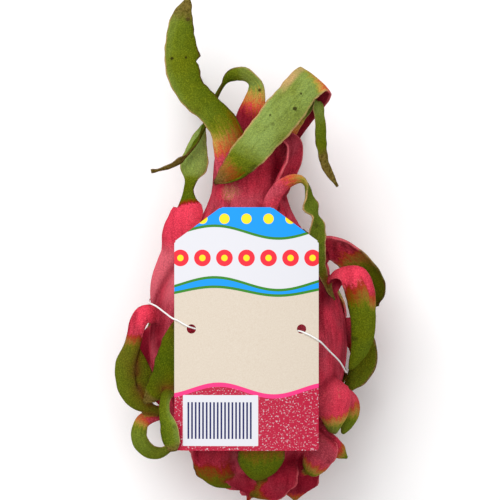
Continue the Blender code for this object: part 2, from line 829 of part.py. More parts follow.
def make_fruit(collection):
    """Body and scales joined in one solid, cut level where the fruit rests."""
    fruit = make_body(collection)
    grown = new_collection("scales")
    for table in (CROWN_SCALES, SIDE_SCALES, STEM_SCALES):
        for name, scale in table.items():
            make_blade(name, scale, grown)
    for root_y, angles in HUGGING_ROWS:
        for degrees in angles:
            make_blade(f"hugging_{root_y:.0f}_{degrees:.0f}", hugging_scale(root_y, degrees), grown)
    boolean(fruit, "UNION", "MANIFOLD", grown)
    below = new_collection("below_the_floor")
    slab = bmesh.new()
    bmesh.ops.create_cube(slab, size=1.0)
    for vert in slab.verts:
        vert.co = Vector((vert.co.x * 0.4, vert.co.y * 0.4, (vert.co.z - 0.5) * 0.02))
    mesh_object("slab", slab, below)
    boolean(fruit, "DIFFERENCE", "MANIFOLD", below)
    bm = bmesh.new()
    bm.from_mesh(fruit.data)
    drop_crumbs(bm, LEAST_SHELL_FACES)
    bm.to_mesh(fruit.data)
    bm.free()
    fruit.data.shade_smooth()
    fruit.data.set_sharp_from_angle(angle=math.radians(50.0))
    fruit.data.materials.clear()
    fruit.data.materials.append(material("fruit_skin", (0.62, 0.05, 0.13), 0.42))
    return fruit


def make_tag(collection):
    """The card: a strip grid, cut to its outline and holes, then bowed."""
    half_x, half_y = 0.5 * TAG_WIDTH * MM, 0.5 * TAG_LENGTH * MM
    bm = bmesh.new()
    bmesh.ops.create_cube(bm, size=1.0)
    for vert in bm.verts:
        vert.co = Vector((2 * half_x * vert.co.x, 2 * half_y * vert.co.y, TAG_THICKNESS * MM * vert.co.z))
    for side in (-1.0, 1.0):
        corner = Vector((side * (half_x - TAG_CORNER_X * MM), half_y, 0.0))
        outward = Vector((side * TAG_CORNER_Y, TAG_CORNER_X, 0.0)).normalized()
        slice_off(bm, corner, outward)
    for i in range(1, TAG_STRIPS):
        geometry = bm.verts[:] + bm.edges[:] + bm.faces[:]
        place = (half_x * (2.0 * i / TAG_STRIPS - 1.0) + 0.00011, 0.0, 0.0)
        bmesh.ops.bisect_plane(bm, geom=geometry, plane_co=place, plane_no=(1.0, 0.0, 0.0))
    card = mesh_object("tag", bm, collection)
    for side in (-1.0, 1.0):
        bpy.ops.mesh.primitive_cylinder_add(
            vertices=20,
            radius=0.5 * HOLE_DIAMETER * MM,
            depth=6.0 * TAG_THICKNESS * MM,
            location=(side * 0.5 * HOLE_SPACING * MM, 0.0, 0.0),
        )
        cutter = bpy.context.object
        hole = card.modifiers.new("hole", "BOOLEAN")
        hole.operation = "DIFFERENCE"
        hole.object = cutter
        hole.solver = "EXACT"
        cut = applied(card)
        card.modifiers.clear()
        card.data = cut
        bpy.data.objects.remove(cutter)
    for vert in card.data.vertices:
        vert.co.z -= vert.co.x**2 / (2.0 * TAG_BOW_RADIUS * MM)
    card.location = (TAG_CENTRE[0] * MM, TAG_CENTRE[1] * MM, (TAG_TOP - 0.5 * TAG_THICKNESS) * MM)
    card.data.materials.append(material("tag_card", (0.78, 0.72, 0.62), 0.6))
    return card


def slice_off(bm, point, outward):
    """Cuts away what lies beyond a plane, and closes the cut."""
    cut = bmesh.ops.bisect_plane(
        bm,
        geom=bm.verts[:] + bm.edges[:] + bm.faces[:],
        plane_co=point,
        plane_no=outward,
        clear_outer=True,
    )
    edges = [item for item in cut["geom_cut"] if isinstance(item, bmesh.types.BMEdge)]
    bmesh.ops.holes_fill(bm, edges=edges, sides=0)


def make_string(collection):
    """The elastic: a closed curve with a round bevel."""
    points = curve_through(STRING_ROUTE, STRING_STEPS, closed=True)
    curve = bpy.data.curves.new("tag_string", "CURVE")
    curve.dimensions = "3D"
    curve.bevel_depth = 0.5 * STRING_DIAMETER * MM
    curve.bevel_resolution = 2
    spline = curve.splines.new("POLY")
    spline.points.add(len(points) - 1)
    for slot, point in zip(spline.points, points):
        slot.co = (*(value * MM for value in point[:3]), 1.0)
    spline.use_cyclic_u = True
    elastic = bpy.data.objects.new("tag_string", curve)
    collection.objects.link(elastic)
    elastic.data.materials.append(material("tag_string", (0.9, 0.9, 0.88), 0.5))
    return elastic


def main():
    for obj in list(bpy.data.objects):
        bpy.data.objects.remove(obj)
    collection = new_collection("dragon_fruit_with_tag")
    make_fruit(collection)
    make_tag(collection)
    make_string(collection)


main()
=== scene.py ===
"""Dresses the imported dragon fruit: skin, scales, card tag and elastic, seen from straight above.

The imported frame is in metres; the tables below are in millimetres, as in the part's source.
"""

import json
import math

import bmesh
import bpy
import numpy as np
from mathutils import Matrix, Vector, kdtree

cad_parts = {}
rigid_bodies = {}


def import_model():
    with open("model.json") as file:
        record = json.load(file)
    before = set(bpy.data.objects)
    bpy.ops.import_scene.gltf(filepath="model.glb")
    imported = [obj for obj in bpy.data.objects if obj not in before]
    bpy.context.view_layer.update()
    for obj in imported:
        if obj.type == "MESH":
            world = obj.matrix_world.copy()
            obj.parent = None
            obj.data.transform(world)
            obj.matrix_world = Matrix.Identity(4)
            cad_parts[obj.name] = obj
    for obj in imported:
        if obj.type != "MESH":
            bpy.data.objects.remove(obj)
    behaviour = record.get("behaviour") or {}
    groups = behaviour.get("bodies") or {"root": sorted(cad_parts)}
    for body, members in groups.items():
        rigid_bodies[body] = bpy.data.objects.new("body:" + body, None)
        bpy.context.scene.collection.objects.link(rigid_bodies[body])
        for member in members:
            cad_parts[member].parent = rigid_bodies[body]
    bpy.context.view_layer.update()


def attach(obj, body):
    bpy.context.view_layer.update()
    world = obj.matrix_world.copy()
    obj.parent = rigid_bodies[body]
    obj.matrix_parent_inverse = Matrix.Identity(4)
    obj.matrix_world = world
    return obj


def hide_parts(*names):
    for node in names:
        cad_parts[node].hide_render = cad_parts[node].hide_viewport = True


MM = 0.001

# Body: a teardrop turned about +Y, from the cut stem to the hollow inside the crown
BELLY_RADIUS = 43.0
FLAT_SPOT_DEPTH = 1.2
AXIS_HEIGHT = BELLY_RADIUS - FLAT_SPOT_DEPTH
BODY_SQUASH = 0.966
STEM_OUTLINE = [(-56.0, 0.0), (-56.0, 2.8), (-55.3, 3.5), (-52.2, 3.9), (-52.4, 6.0)]
BODY_OUTLINE = [
    (-53.6, 8.6), (-51.4, 12.6), (-46.0, 18.4), (-39.0, 23.6), (-30.0, 29.4), (-20.0, 35.2),
    (-9.0, 40.6), (4.0, BELLY_RADIUS), (16.0, 42.4), (27.0, 39.6), (37.0, 35.2), (46.0, 29.8),
    (55.0, 24.2), (64.0, 18.8), (74.0, 15.8), (84.0, 14.8), (92.0, 13.2),
]
CROWN_OUTLINE = [(97.0, 10.6), (99.0, 7.8), (97.0, 4.2), (96.0, 0.0)]
BODY_SIDES = 150
BODY_RING_SPACING = 1.25
SKIN_FROM_RADIUS = (4.0, 12.0)

# The body's fine unevenness: (height, size, seed)
UNEVENNESS = [(0.25, 16.0, 3), (0.07, 4.5, 4)]

# It dies down far from the axis, and at the sides: (from, to), and by how much
CALM_AWAY, CALM_AWAY_SHARE = (33.0, 39.0), 0.9
CALM_SIDES, CALM_SIDES_SHARE = (0.8, 0.98), 0.8

# Ribs: the feet of old scales run down the neck as folds, and swell the belly a little
NECK_RIBS = 5
NECK_RIB_DEPTH = 0.1
NECK_START, NECK_FULL = 44.0, 72.0
BELLY_LOBES = 4
BELLY_LOBE_DEPTH = 0.014

# Every scale swells the body beside its root, as a ridge that runs away from the way it grows
SWELL_HEIGHT = 2.4
SWELL_HALF_WIDTH = 8.0
SWELL_SCALE_WIDTH = 14.0
SWELL_BEHIND, SWELL_AHEAD = 15.0, 6.0

# Blades: a sharp edge, and margins that are calm near the root and ripple from CALM_ROOT on
FINE_EDGE = 0.42
LEAST_WIDTH = 0.9
CALM_ROOT = (0.15, 0.5)
THINNING_POWER, LENS_POWER, RIPPLE_POWER = 1.3, 0.72, 2.4
OTHER_MARGIN_RIPPLE = -0.7
WIDTH_WAVE, WIDTH_WAVE_REACH = 0.035, 4.1
RIPPLE_REACHES, FRAY_REACHES = (2.4, 1.1), (1.9, 0.83)
ACROSS_STEPS = 13
RING_SPACING = 1.15
LEAST_RINGS = 18
LEAST_SHELL_FACES = 100

# Each station is (x, y, z, width), from the root to the tip. "across" gives, by station, which way
# the width lies, which is side 1 of the blade. "cup" is half the angle that the blade's section
# turns through, in degrees, positive where the outer face bulges. "thick" is the thickness at the
# root and at the tip, and "wave" is how far the margins ripple.
# Places along a scale run from 0 at the root to 1 at the tip. "green" is where the pink ends and
# where all is green, and "dry" is where the tip turns brown. "tone" goes from dark olive at 0 to
# light green at 1, and "slope" paints light and shade across the width, as how much lighter
# it is toward side 1. "deep" is how crimson the pink is, or below 0 how fresh and bright. Both can be
# a row of (place, value). "hollow" is painted shade on the hollow face, how deep its colour is
# there, 1 where it isn't given.
# "rim" widens the dry margin: side, from, to, share of the width that stays green. "blush" turns
# a margin back to pink, or greener where its strength is below 0: side, share of the width, from,
# to, strength. "nicks" are bites and teeth in a margin: place, side, depth, reach.
CROWN_SCALES = {
    "crown_tall": {
        "stations": [
            (-4.6, 68.0, 50.0, 13.0), (-5.8, 79.0, 57.0, 14.0), (-7.2, 89.6, 60.6, 14.2),
            (-9.8, 97.8, 61.8, 12.8), (-14.8, 104.2, 62.6, 11.2), (-20.8, 109.8, 62.8, 12.4),
            (-25.4, 115.8, 62.2, 13.2), (-27.4, 123.6, 60.8, 13.8), (-27.9, 132.0, 59.0, 13.2),
            (-28.1, 139.0, 57.4, 11.4), (-27.0, 145.6, 56.0, 7.8), (-25.6, 149.6, 55.0, 4.6),
            (-24.6, 151.6, 54.5, 1.4),
        ],
        "across": {
            0: (1.0, 0.0, 0.0), 2: (0.95, 0.3, 0.0), 4: (0.66, 0.75, 0.1), 6: (0.88, 0.45, 0.1),
            8: (1.0, 0.1, 0.0),
        },
        "cup": 22.0, "thick": (3.4, 1.2), "wave": 0.5, "green": (0.2, 0.38), "dry": 0.9,
        "tone": [(0.0, 0.6), (0.26, 0.45), (0.38, 0.3), (0.8, 0.35), (0.9, 0.5)], "slope": -0.35,
        "nicks": [(0.735, 1.0, 1.1, 0.012), (0.705, 1.0, -1.3, 0.014)],
    },
    "crown_loop": {
        "stations": [
            (-2.0, 86.0, 46.0, 12.0), (-1.4, 95.0, 51.0, 11.8), (0.6, 102.6, 54.0, 11.6),
            (2.6, 109.4, 56.2, 9.8), (3.0, 115.4, 57.4, 8.2), (-0.2, 119.3, 57.5, 7.2),
            (-4.8, 119.9, 56.5, 6.4), (-9.0, 117.6, 54.5, 5.2), (-12.4, 112.6, 52.0, 4.0),
            (-15.2, 106.0, 49.8, 3.6), (-17.8, 99.4, 49.0, 4.0), (-20.8, 93.2, 49.5, 4.4),
            (-24.6, 87.8, 49.0, 4.4), (-28.8, 83.8, 48.4, 4.0), (-33.8, 81.6, 47.4, 3.0),
            (-40.5, 79.8, 46.0, 1.0),
        ],
        "across": {
            0: (1.0, 0.0, 0.1), 3: (0.85, -0.2, 0.5), 6: (0.1, 0.75, 0.65), 9: (0.5, 0.2, 0.85),
            14: (0.35, 0.6, 0.7),
        },
        "cup": 18.0, "thick": (2.6, 1.1), "wave": 0.5, "green": (0.18, 0.31), "dry": 0.82,
        "tone": [(0.0, 0.1), (0.21, 0.3), (0.27, 1.0), (0.38, 0.9), (0.45, 0.0)], "deep": 0.9,
    },
    "crown_folded": {
        "stations": [
            (11.0, 78.0, 43.0, 11.5), (13.0, 88.0, 48.0, 11.6), (16.6, 96.5, 52.0, 11.6),
            (22.0, 104.6, 57.0, 12.6), (27.2, 111.2, 62.5, 13.6), (28.8, 115.9, 68.5, 14.2),
            (26.6, 117.5, 73.6, 14.6), (23.0, 114.6, 76.4, 15.0), (17.9, 108.0, 77.2, 15.4),
            (11.6, 100.2, 75.8, 15.4), (5.2, 92.6, 73.4, 15.0), (-1.0, 85.6, 70.8, 13.2),
            (-6.8, 79.8, 68.4, 10.0), (-11.0, 76.6, 66.8, 5.6), (-13.8, 75.0, 66.0, 1.0),
        ],
        "across": {0: (0.7, -0.6, -0.3), 3: (0.76, -0.65, 0.0)},
        "cup": -16.0, "thick": (3.0, 1.2), "wave": 0.5, "green": (0.425, 0.49), "dry": 0.955,
        "tone": [(0.0, 1.0), (0.8, 1.0), (0.9, 0.2)], "slope": -0.15, "rim": (-1.0, 0.38, 0.62, 0.62),
        "blush": (-1.0, -0.9, 0.83, 1.2, 1.5),
    },
    "crown_strip": {
        "stations": [
            (10.0, 84.0, 49.0, 6.4), (15.4, 92.8, 58.0, 6.2), (20.4, 101.0, 64.0, 5.6),
            (25.0, 107.0, 67.0, 5.2), (28.0, 108.6, 68.0, 5.0), (29.4, 105.2, 67.6, 5.0),
            (30.0, 99.2, 66.0, 4.9), (30.4, 92.0, 63.8, 4.5), (31.4, 85.0, 61.0, 4.0),
            (33.8, 79.0, 58.4, 3.2), (37.3, 73.6, 56.0, 1.0),
        ],
        "across": {0: (0.6, -0.8, 0.0), 3: (0.5, -0.5, -0.7), 6: (0.9, 0.1, -0.35)},
        "cup": -20.0, "thick": (2.2, 1.1), "wave": 0.4, "green": (0.2, 0.35), "dry": 0.78,
        "tone": [(0.0, 0.7), (0.55, 0.8), (0.7, 0.2)], "deep": 0.4,
    },
    "neck_lobe": {
        "stations": [
            (8.0, 60.0, 44.0, 12.0), (10.4, 69.0, 51.0, 13.4), (14.6, 77.6, 56.5, 13.8),
            (17.8, 85.8, 61.0, 12.6), (17.4, 91.2, 64.2, 10.2), (14.0, 92.8, 64.6, 7.0),
            (11.0, 91.0, 63.0, 2.4),
        ],
        "across": {0: (0.6, 0.0, -0.8), 4: (0.5, 0.3, -0.8)},
        "cup": -34.0, "thick": (4.6, 1.8), "wave": 0.2, "green": (0.95, 1.2), "dry": 1.1, "tone": 0.3,
        "deep": 0.3, "hollow": 0.3,
    },
    "neck_droop": {
        "stations": [
            (6.6, 55.6, 57.0, 6.0), (8.6, 63.6, 61.6, 6.6), (11.6, 70.4, 64.4, 6.2),
            (16.4, 75.0, 66.0, 5.8), (21.4, 76.2, 66.2, 5.2), (24.2, 74.0, 65.6, 4.8),
            (25.1, 69.6, 65.0, 5.4), (25.6, 65.4, 64.6, 7.0), (27.6, 61.4, 64.0, 4.8),
            (28.6, 56.6, 63.2, 7.2), (28.4, 50.6, 62.0, 7.4), (29.2, 43.4, 60.6, 5.8),
            (31.2, 36.6, 61.0, 4.0), (33.6, 31.0, 61.2, 2.8), (36.2, 26.4, 60.4, 0.9),
        ],
        "across": {
            0: (0.8, -0.5, 0.0), 4: (0.4, -0.7, -0.6), 5: (0.2, -0.2, -0.95), 7: (0.9, 0.1, -0.4),
            8: (0.5, 0.2, -0.85), 9: (0.95, 0.2, -0.2),
        },
        "cup": 24.0, "thick": (3.2, 1.1), "wave": 0.7, "green": (0.26, 0.4), "dry": 0.9, "tone": 0.6,
    },
    "neck_stub": {
        "stations": [
            (-35.2, 19.0, 45.0, 18.0), (-35.2, 32.0, 47.0, 17.8), (-31.6, 44.6, 50.0, 15.0),
            (-31.0, 53.0, 51.4, 13.8), (-28.2, 59.6, 51.8, 13.4), (-25.4, 63.6, 51.2, 12.8),
            (-25.6, 67.4, 50.0, 8.4), (-25.4, 72.0, 48.4, 6.4), (-24.2, 76.4, 46.8, 6.6),
            (-23.2, 81.6, 45.0, 11.0), (-22.4, 86.0, 43.6, 10.6), (-21.0, 92.6, 42.2, 7.4),
            (-18.6, 99.6, 41.2, 1.4),
        ],
        "across": {
            0: (0.75, 0.0, 0.65), 3: (0.85, 0.0, 0.5), 5: (0.95, -0.2, 0.2), 7: (0.6, 0.2, 0.75),
            9: (0.97, 0.1, 0.1),
        },
        "cup": 38.0, "thick": (5.0, 1.4), "wave": 0.4, "green": (0.575, 0.605), "dry": 1.2,
        "tone": [(0.0, 1.0), (0.3, 1.0), (0.42, 0.6), (0.58, 0.05), (0.7, 0.1), (0.74, 0.9), (0.9, 1.0)],
        "deep": [(0.0, 0.0), (0.33, -0.2), (0.42, -0.85)],
    },
    "back_leaf_left": {
        "stations": [
            (-6.0, 80.0, 34.0, 8.0), (-8.5, 92.0, 29.0, 9.0), (-13.5, 102.0, 23.5, 9.0),
            (-20.0, 110.5, 16.5, 8.6), (-24.6, 118.5, 9.6, 7.0), (-26.6, 126.0, 5.0, 4.0),
            (-27.2, 130.5, 3.2, 1.2),
        ],
        "across": {0: (-1.0, -0.4, 0.0)},
        "cup": 24.0, "thick": (3.0, 1.2), "wave": 0.5, "green": (0.25, 0.45), "dry": 0.85, "tone": 0.4,
    },
    "back_leaf_right": {
        "stations": [
            (4.0, 74.0, 33.0, 8.0), (9.0, 86.0, 26.0, 9.5), (14.0, 96.0, 19.0, 9.5),
            (18.5, 104.0, 11.5, 8.0), (21.5, 110.0, 5.5, 5.0), (23.0, 113.5, 2.6, 1.2),
        ],
        "across": {0: (-0.9, 0.45, 0.0)},
        "cup": 24.0, "thick": (3.0, 1.2), "wave": 0.5, "green": (0.25, 0.45), "dry": 0.85, "tone": 0.6,
    },
}

SIDE_SCALES = {
    "right_arch": {
        "stations": [
            (25.0, 35.6, 42.0, 12.0), (28.6, 46.0, 45.5, 13.6), (32.2, 49.6, 47.5, 14.2),
            (38.2, 48.6, 48.0, 14.6), (45.2, 44.0, 46.0, 14.8), (51.2, 37.8, 42.5, 14.2),
            (53.8, 31.6, 38.5, 12.0), (52.8, 27.0, 34.5, 8.0), (52.0, 25.0, 31.5, 5.0),
            (50.4, 24.6, 29.5, 1.2),
        ],
        "across": {0: (-0.55, 0.35, 0.75), 3: (0.1, 0.7, 0.7), 5: (0.55, 0.4, 0.7), 9: (0.7, 0.0, 0.7)},
        "cup": 46.0, "thick": (3.8, 1.4), "wave": 0.3, "green": (0.36, 0.6), "dry": 0.95,
        "tone": [(0.0, 0.4), (0.6, 0.3), (0.85, 0.1)], "deep": 0.1, "hollow": 0.3,
        "blush": (1.0, 0.05, -0.2, 0.5, 3.0),
    },
    "right_hook": {
        "stations": [
            (31.0, 26.0, 50.0, 9.0), (34.4, 33.4, 56.5, 9.4), (38.4, 37.8, 62.0, 10.2),
            (42.4, 38.2, 65.6, 11.4), (45.4, 34.0, 67.0, 12.0), (47.4, 26.4, 66.2, 11.8),
            (48.3, 18.0, 63.8, 11.2), (48.2, 10.4, 61.0, 9.8), (46.8, 4.4, 58.4, 7.8),
            (44.4, 0.2, 56.4, 5.0), (42.2, -2.6, 55.0, 1.0),
        ],
        "across": {0: (0.8, 0.3, -0.4), 4: (0.95, 0.25, -0.15), 8: (0.95, 0.2, -0.25)},
        "cup": -46.0, "thick": (4.6, 1.8), "wave": 0.2, "green": (0.38, 0.56), "dry": 1.05,
        "tone": 0.25, "slope": 0.25, "deep": -0.7, "blush": (1.0, 0.3, 0.3, 0.68, 0.6),
    },
    "right_under": {
        "stations": [
            (34.0, 10.0, 30.0, 10.0), (40.2, 12.6, 33.0, 12.0), (45.6, 9.8, 35.8, 14.4),
            (47.8, 3.0, 37.4, 14.4), (46.2, -4.0, 37.6, 12.2), (42.8, -9.4, 37.0, 7.6),
            (40.6, -13.4, 36.4, 1.2),
        ],
        "across": {0: (0.8, 0.4, 0.4), 3: (0.75, -0.1, 0.65)},
        "cup": -30.0, "thick": (3.8, 1.5), "wave": 0.3, "green": (0.3, 0.5), "dry": 1.0, "tone": 0.3,
    },
    "right_bulge": {
        "stations": [
            (24.6, -3.4, 55.0, 15.0), (30.2, -6.6, 62.4, 16.8), (33.0, -10.0, 65.0, 18.6),
            (34.4, -14.0, 64.8, 18.4), (36.0, -19.4, 61.6, 15.0), (36.4, -24.6, 57.4, 10.6),
            (35.4, -29.2, 52.6, 4.0),
        ],
        "across": {0: (0.9, 0.2, -0.35), 3: (0.93, 0.0, -0.3)},
        "cup": -48.0, "thick": (6.0, 2.0), "wave": 0.2, "green": (0.68, 0.86), "dry": 1.1, "tone": 0.7,
        "deep": -0.5,
    },
    "right_small": {
        "stations": [
            (33.0, -11.0, 42.0, 8.0), (39.8, -12.4, 47.5, 9.2), (43.2, -17.0, 49.6, 9.2),
            (43.4, -22.8, 48.4, 8.4), (41.6, -27.0, 45.8, 5.6), (39.8, -29.8, 43.6, 1.4),
        ],
        "across": {0: (0.8, 0.3, -0.5), 3: (0.85, -0.1, -0.5)},
        "cup": -40.0, "thick": (4.2, 1.6), "wave": 0.2, "green": (0.5, 0.7), "dry": 1.05, "tone": 0.5,
        "deep": -0.6,
    },
    "left_hook": {
        "stations": [
            (-32.0, 16.6, 46.4, 9.0), (-35.6, 19.8, 52.4, 9.4), (-39.2, 20.8, 57.0, 8.8),
            (-43.2, 20.6, 59.4, 8.0), (-46.0, 16.8, 60.6, 7.4), (-47.3, 11.2, 61.0, 6.8),
            (-48.9, 5.8, 60.8, 7.2), (-51.2, -1.0, 60.2, 8.8), (-50.8, -9.3, 58.8, 9.0),
            (-47.4, -15.2, 57.2, 7.8), (-42.6, -18.6, 55.2, 5.8), (-37.9, -20.2, 54.0, 3.8),
            (-34.2, -21.6, 53.0, 1.0),
        ],
        "across": {
            0: (0.6, -0.6, 0.5), 2: (0.3, -0.9, 0.3), 4: (0.85, -0.4, 0.3), 7: (0.95, 0.0, 0.3),
            9: (0.75, 0.6, 0.3), 11: (0.3, 0.9, 0.3),
        },
        "cup": -38.0, "thick": (4.4, 1.7), "wave": 0.2, "green": (0.385, 0.455), "dry": 1.05,
        "tone": 0.3, "slope": -0.15, "deep": -0.2,
    },
    "left_inner": {
        "stations": [
            (-48.8, 9.4, 59.6, 4.4), (-47.2, 4.0, 59.2, 6.4), (-45.0, -1.8, 58.6, 8.0),
            (-43.2, -7.4, 57.6, 8.2), (-42.0, -12.8, 56.6, 6.2), (-41.0, -16.8, 55.6, 1.4),
        ],
        "across": {0: (0.95, 0.25, -0.2)},
        "cup": -26.0, "thick": (2.6, 1.1), "wave": 0.3, "green": (-0.3, -0.1), "dry": 0.86,
        "tone": 0.05,
    },
    "left_front": {
        "stations": [
            (-24.6, 20.4, 67.0, 8.0), (-27.2, 15.0, 73.2, 10.0), (-29.8, 8.0, 75.4, 12.4),
            (-32.2, 0.6, 73.8, 13.6), (-34.8, -5.6, 70.6, 12.8), (-38.2, -10.8, 66.8, 9.4),
            (-41.2, -14.2, 63.6, 5.0), (-43.0, -16.2, 61.6, 1.4),
        ],
        "across": {0: (0.9, -0.35, 0.25), 4: (0.8, -0.6, 0.25)},
        "cup": -22.0, "thick": (3.4, 1.5), "wave": 0.6, "green": (0.02, 0.14), "dry": 0.88, "tone": 0.0,
    },
    "left_ring": {
        "stations": [
            (-27.0, -19.0, 43.0, 7.0), (-33.4, -20.2, 48.0, 6.4), (-39.4, -21.2, 51.8, 6.2),
            (-44.2, -24.2, 54.0, 6.6), (-45.9, -29.4, 54.8, 7.0), (-44.7, -34.2, 54.0, 7.0),
            (-41.0, -37.6, 52.0, 6.4), (-36.6, -38.0, 50.0, 5.2), (-33.0, -36.2, 48.4, 3.4),
            (-30.4, -33.6, 47.0, 1.0),
        ],
        "across": {
            0: (0.1, -0.9, 0.35), 2: (0.3, -0.85, 0.4), 4: (0.93, 0.0, 0.35), 7: (0.1, 0.93, 0.35),
        },
        "cup": -44.0, "thick": (4.0, 1.6), "wave": 0.2, "green": (0.38, 0.48), "dry": 1.05,
        "tone": 0.55,
    },
    "left_corner": {
        "stations": [
            (-26.0, -8.0, 52.0, 7.0), (-30.8, -10.0, 66.0, 5.8), (-33.5, -13.0, 77.0, 4.6),
            (-34.2, -16.6, 83.6, 4.4), (-33.8, -20.6, 87.2, 5.0), (-32.4, -24.8, 88.4, 6.8),
            (-31.6, -29.0, 88.2, 7.2), (-31.0, -32.4, 87.4, 6.2), (-30.6, -35.2, 87.0, 3.0),
        ],
        "across": {0: (0.9, -0.3, 0.2), 4: (0.99, 0.1, 0.1)},
        "cup": -16.0, "thick": (3.0, 1.1), "wave": 0.3, "green": (0.24, 0.4), "dry": 0.95, "tone": 0.4,
        "slope": 0.4,
    },
    "left_under": {
        "stations": [
            (-34.0, 15.0, 34.0, 12.0), (-40.0, 11.0, 37.0, 14.0), (-43.0, 3.6, 39.4, 14.6),
            (-42.4, -4.4, 41.0, 12.6), (-39.6, -11.4, 42.0, 8.6), (-36.8, -17.6, 42.4, 2.0),
        ],
        "across": {0: (0.6, 0.1, 0.8), 3: (0.6, -0.1, 0.8)},
        "cup": 30.0, "thick": (5.0, 1.6), "wave": 0.2, "green": (0.95, 1.2), "dry": 1.1, "tone": 0.5,
    },
}

STEM_SCALES = {
    "stem_tongue": {
        "stations": [
            (6.2, -20.0, 66.0, 17.0), (5.9, -31.0, 74.4, 18.6), (5.5, -38.4, 75.0, 18.6),
            (5.0, -43.2, 71.4, 17.4), (4.6, -46.0, 67.4, 14.0), (4.4, -47.8, 64.0, 8.6),
            (4.4, -48.6, 61.8, 3.0),
        ],
        "across": {0: (1.0, 0.0, 0.0)},
        "cup": -36.0, "thick": (3.6, 1.2), "wave": 0.2, "green": (0.2, 0.55), "dry": 1.1, "tone": 0.2,
    },
    "stem_left": {
        "stations": [
            (-11.6, -22.0, 60.0, 16.0), (-13.8, -33.0, 68.6, 17.4), (-14.2, -40.0, 68.6, 18.0),
            (-13.4, -45.4, 64.0, 17.0), (-11.6, -49.0, 59.0, 13.0), (-9.2, -51.0, 55.4, 7.4),
            (-7.6, -51.8, 53.6, 2.0),
        ],
        "across": {0: (1.0, 0.1, 0.0)},
        "cup": -30.0, "thick": (3.6, 1.2), "wave": 0.6, "green": (0.5, 0.95), "dry": 1.1, "tone": 0.15,
        "deep": 0.6, "blush": (-1.0, -0.2, 0.5, 1.3, -0.4),
    },
    "stem_right": {
        "stations": [
            (22.0, -24.6, 46.0, 11.0), (29.4, -30.6, 53.0, 10.8), (34.8, -34.6, 52.2, 8.8),
            (38.8, -37.6, 48.6, 5.8), (41.4, -39.9, 44.8, 1.2),
        ],
        "across": {0: (0.6, 0.75, -0.2)},
        "cup": -30.0, "thick": (3.6, 1.2), "wave": 0.3, "green": (0.7, 0.9), "dry": 1.1, "tone": 0.4,
        "deep": 0.2,
    },
    "stem_fold": {
        "stations": [
            (22.0, -23.0, 52.0, 13.0), (29.8, -33.8, 59.4, 14.2), (28.8, -40.0, 57.8, 12.4),
            (26.2, -44.6, 53.8, 9.4), (24.6, -46.8, 50.2, 2.4),
        ],
        "across": {0: (0.85, -0.5, 0.0)},
        "cup": -30.0, "thick": (3.6, 1.2), "wave": 0.3, "green": (0.72, 0.9), "dry": 1.1, "tone": 0.5,
        "deep": 0.2,
    },
    "ruffle_left": {
        "stations": [
            (-3.6, -38.0, 52.0, 13.0), (-3.2, -47.6, 60.0, 13.8), (-0.6, -51.8, 57.6, 9.6),
            (1.2, -54.2, 54.8, 5.6), (0.8, -56.2, 52.4, 3.0), (0.0, -57.4, 51.0, 1.0),
        ],
        "across": {0: (1.0, 0.0, 0.1)},
        "cup": -24.0, "thick": (3.0, 1.1), "wave": 1.1, "green": (0.9, 1.2), "dry": 1.1, "tone": 0.3,
        "deep": 0.8,
    },
    "ruffle_middle": {
        "stations": [
            (11.8, -34.0, 52.0, 18.0), (11.6, -45.6, 61.6, 19.6), (8.8, -51.6, 60.4, 15.6),
            (5.0, -54.4, 57.0, 8.6), (1.6, -55.8, 54.4, 2.0),
        ],
        "across": {0: (0.95, -0.35, 0.0)},
        "cup": -26.0, "thick": (3.0, 1.1), "wave": 1.1, "green": (0.75, 0.95), "dry": 1.1, "tone": 0.2,
        "deep": 0.75, "blush": (-1.0, 0.3, 0.3, 1.3, -1.8),
    },
    "ruffle_right": {
        "stations": [
            (18.0, -33.0, 42.0, 18.0), (21.6, -44.2, 50.4, 18.8), (22.6, -50.2, 49.4, 18.6),
            (21.6, -54.6, 46.0, 13.8), (20.0, -57.5, 43.6, 3.6),
        ],
        "across": {0: (0.85, 0.1, -0.5)},
        "cup": -28.0, "thick": (3.0, 1.1), "wave": 1.1, "green": (0.85, 1.1), "dry": 1.1, "tone": 0.3,
        "deep": 0.85,
    },
}

# Hugging scales: short ones on the lower half, by rows of (root's y, angles round the body).
# 0 degrees is +X, 90 is up, and 270 is the floor.
HUGGING_ROWS = [
    (-46.0, (216.0, 262.0, 314.0)),
    (-38.0, (206.0, 238.0, 288.0, 334.0)),
    (-24.0, (214.0, 252.0, 296.0, 328.0)),
    (-2.0, (200.0, 234.0)),
    (14.0, (338.0,)),
    (34.0, (204.0, 238.0, 276.0, 310.0, 336.0)),
    (54.0, (250.0, 290.0)),
]
HUGGING_LENGTH = 24.0
HUGGING_WIDTH = 15.0
HUGGING_LIFT = 11.0
HUGGING_SHAPE = [
    (-0.22, -0.5, 0.8), (0.1, 0.1, 1.0), (0.4, 0.42, 1.0), (0.7, 0.85, 0.78), (0.86, 1.2, 0.45),
    (0.9, 1.45, 0.1),
]
HUGGING_CUP = 24.0
HUGGING_THICK = (4.0, 1.5)
LEAST_FLOOR_GAP = 1.4

# Where a scale leaves the body, the join is rounded off, and painted shade darkens its colour there
FILLET_REACH = 3.2
FILLET_ROUNDS = 14
FILLET_PULL = 0.55
CREASE_SHADE_REACH = 2.6
SEAM_GAP = 0.01
ON_FLOOR, CLEAR_OF_FLOOR = 0.02, 0.05

# What cuts the flat spot, in metres
SLAB_SIDE, SLAB_DEPTH = 0.4, 0.02

# Painted shade on the body: deep crimson where it lies in shadow among the scales: (x, y, z, reach)
PAINTED_SHADE_PLACES = [
    (-37.4, 14.4, 57.8, 8.0), (-39.4, 13.6, 50.0, 7.0), (-37.4, 8.0, 60.0, 5.0),
    (38.5, 12.0, 46.0, 6.0), (17.0, -41.0, 58.0, 7.0), (13.0, 81.0, 52.0, 7.0),
    (31.0, -22.0, 58.0, 7.0), (30.0, 28.0, 62.0, 6.0),
]

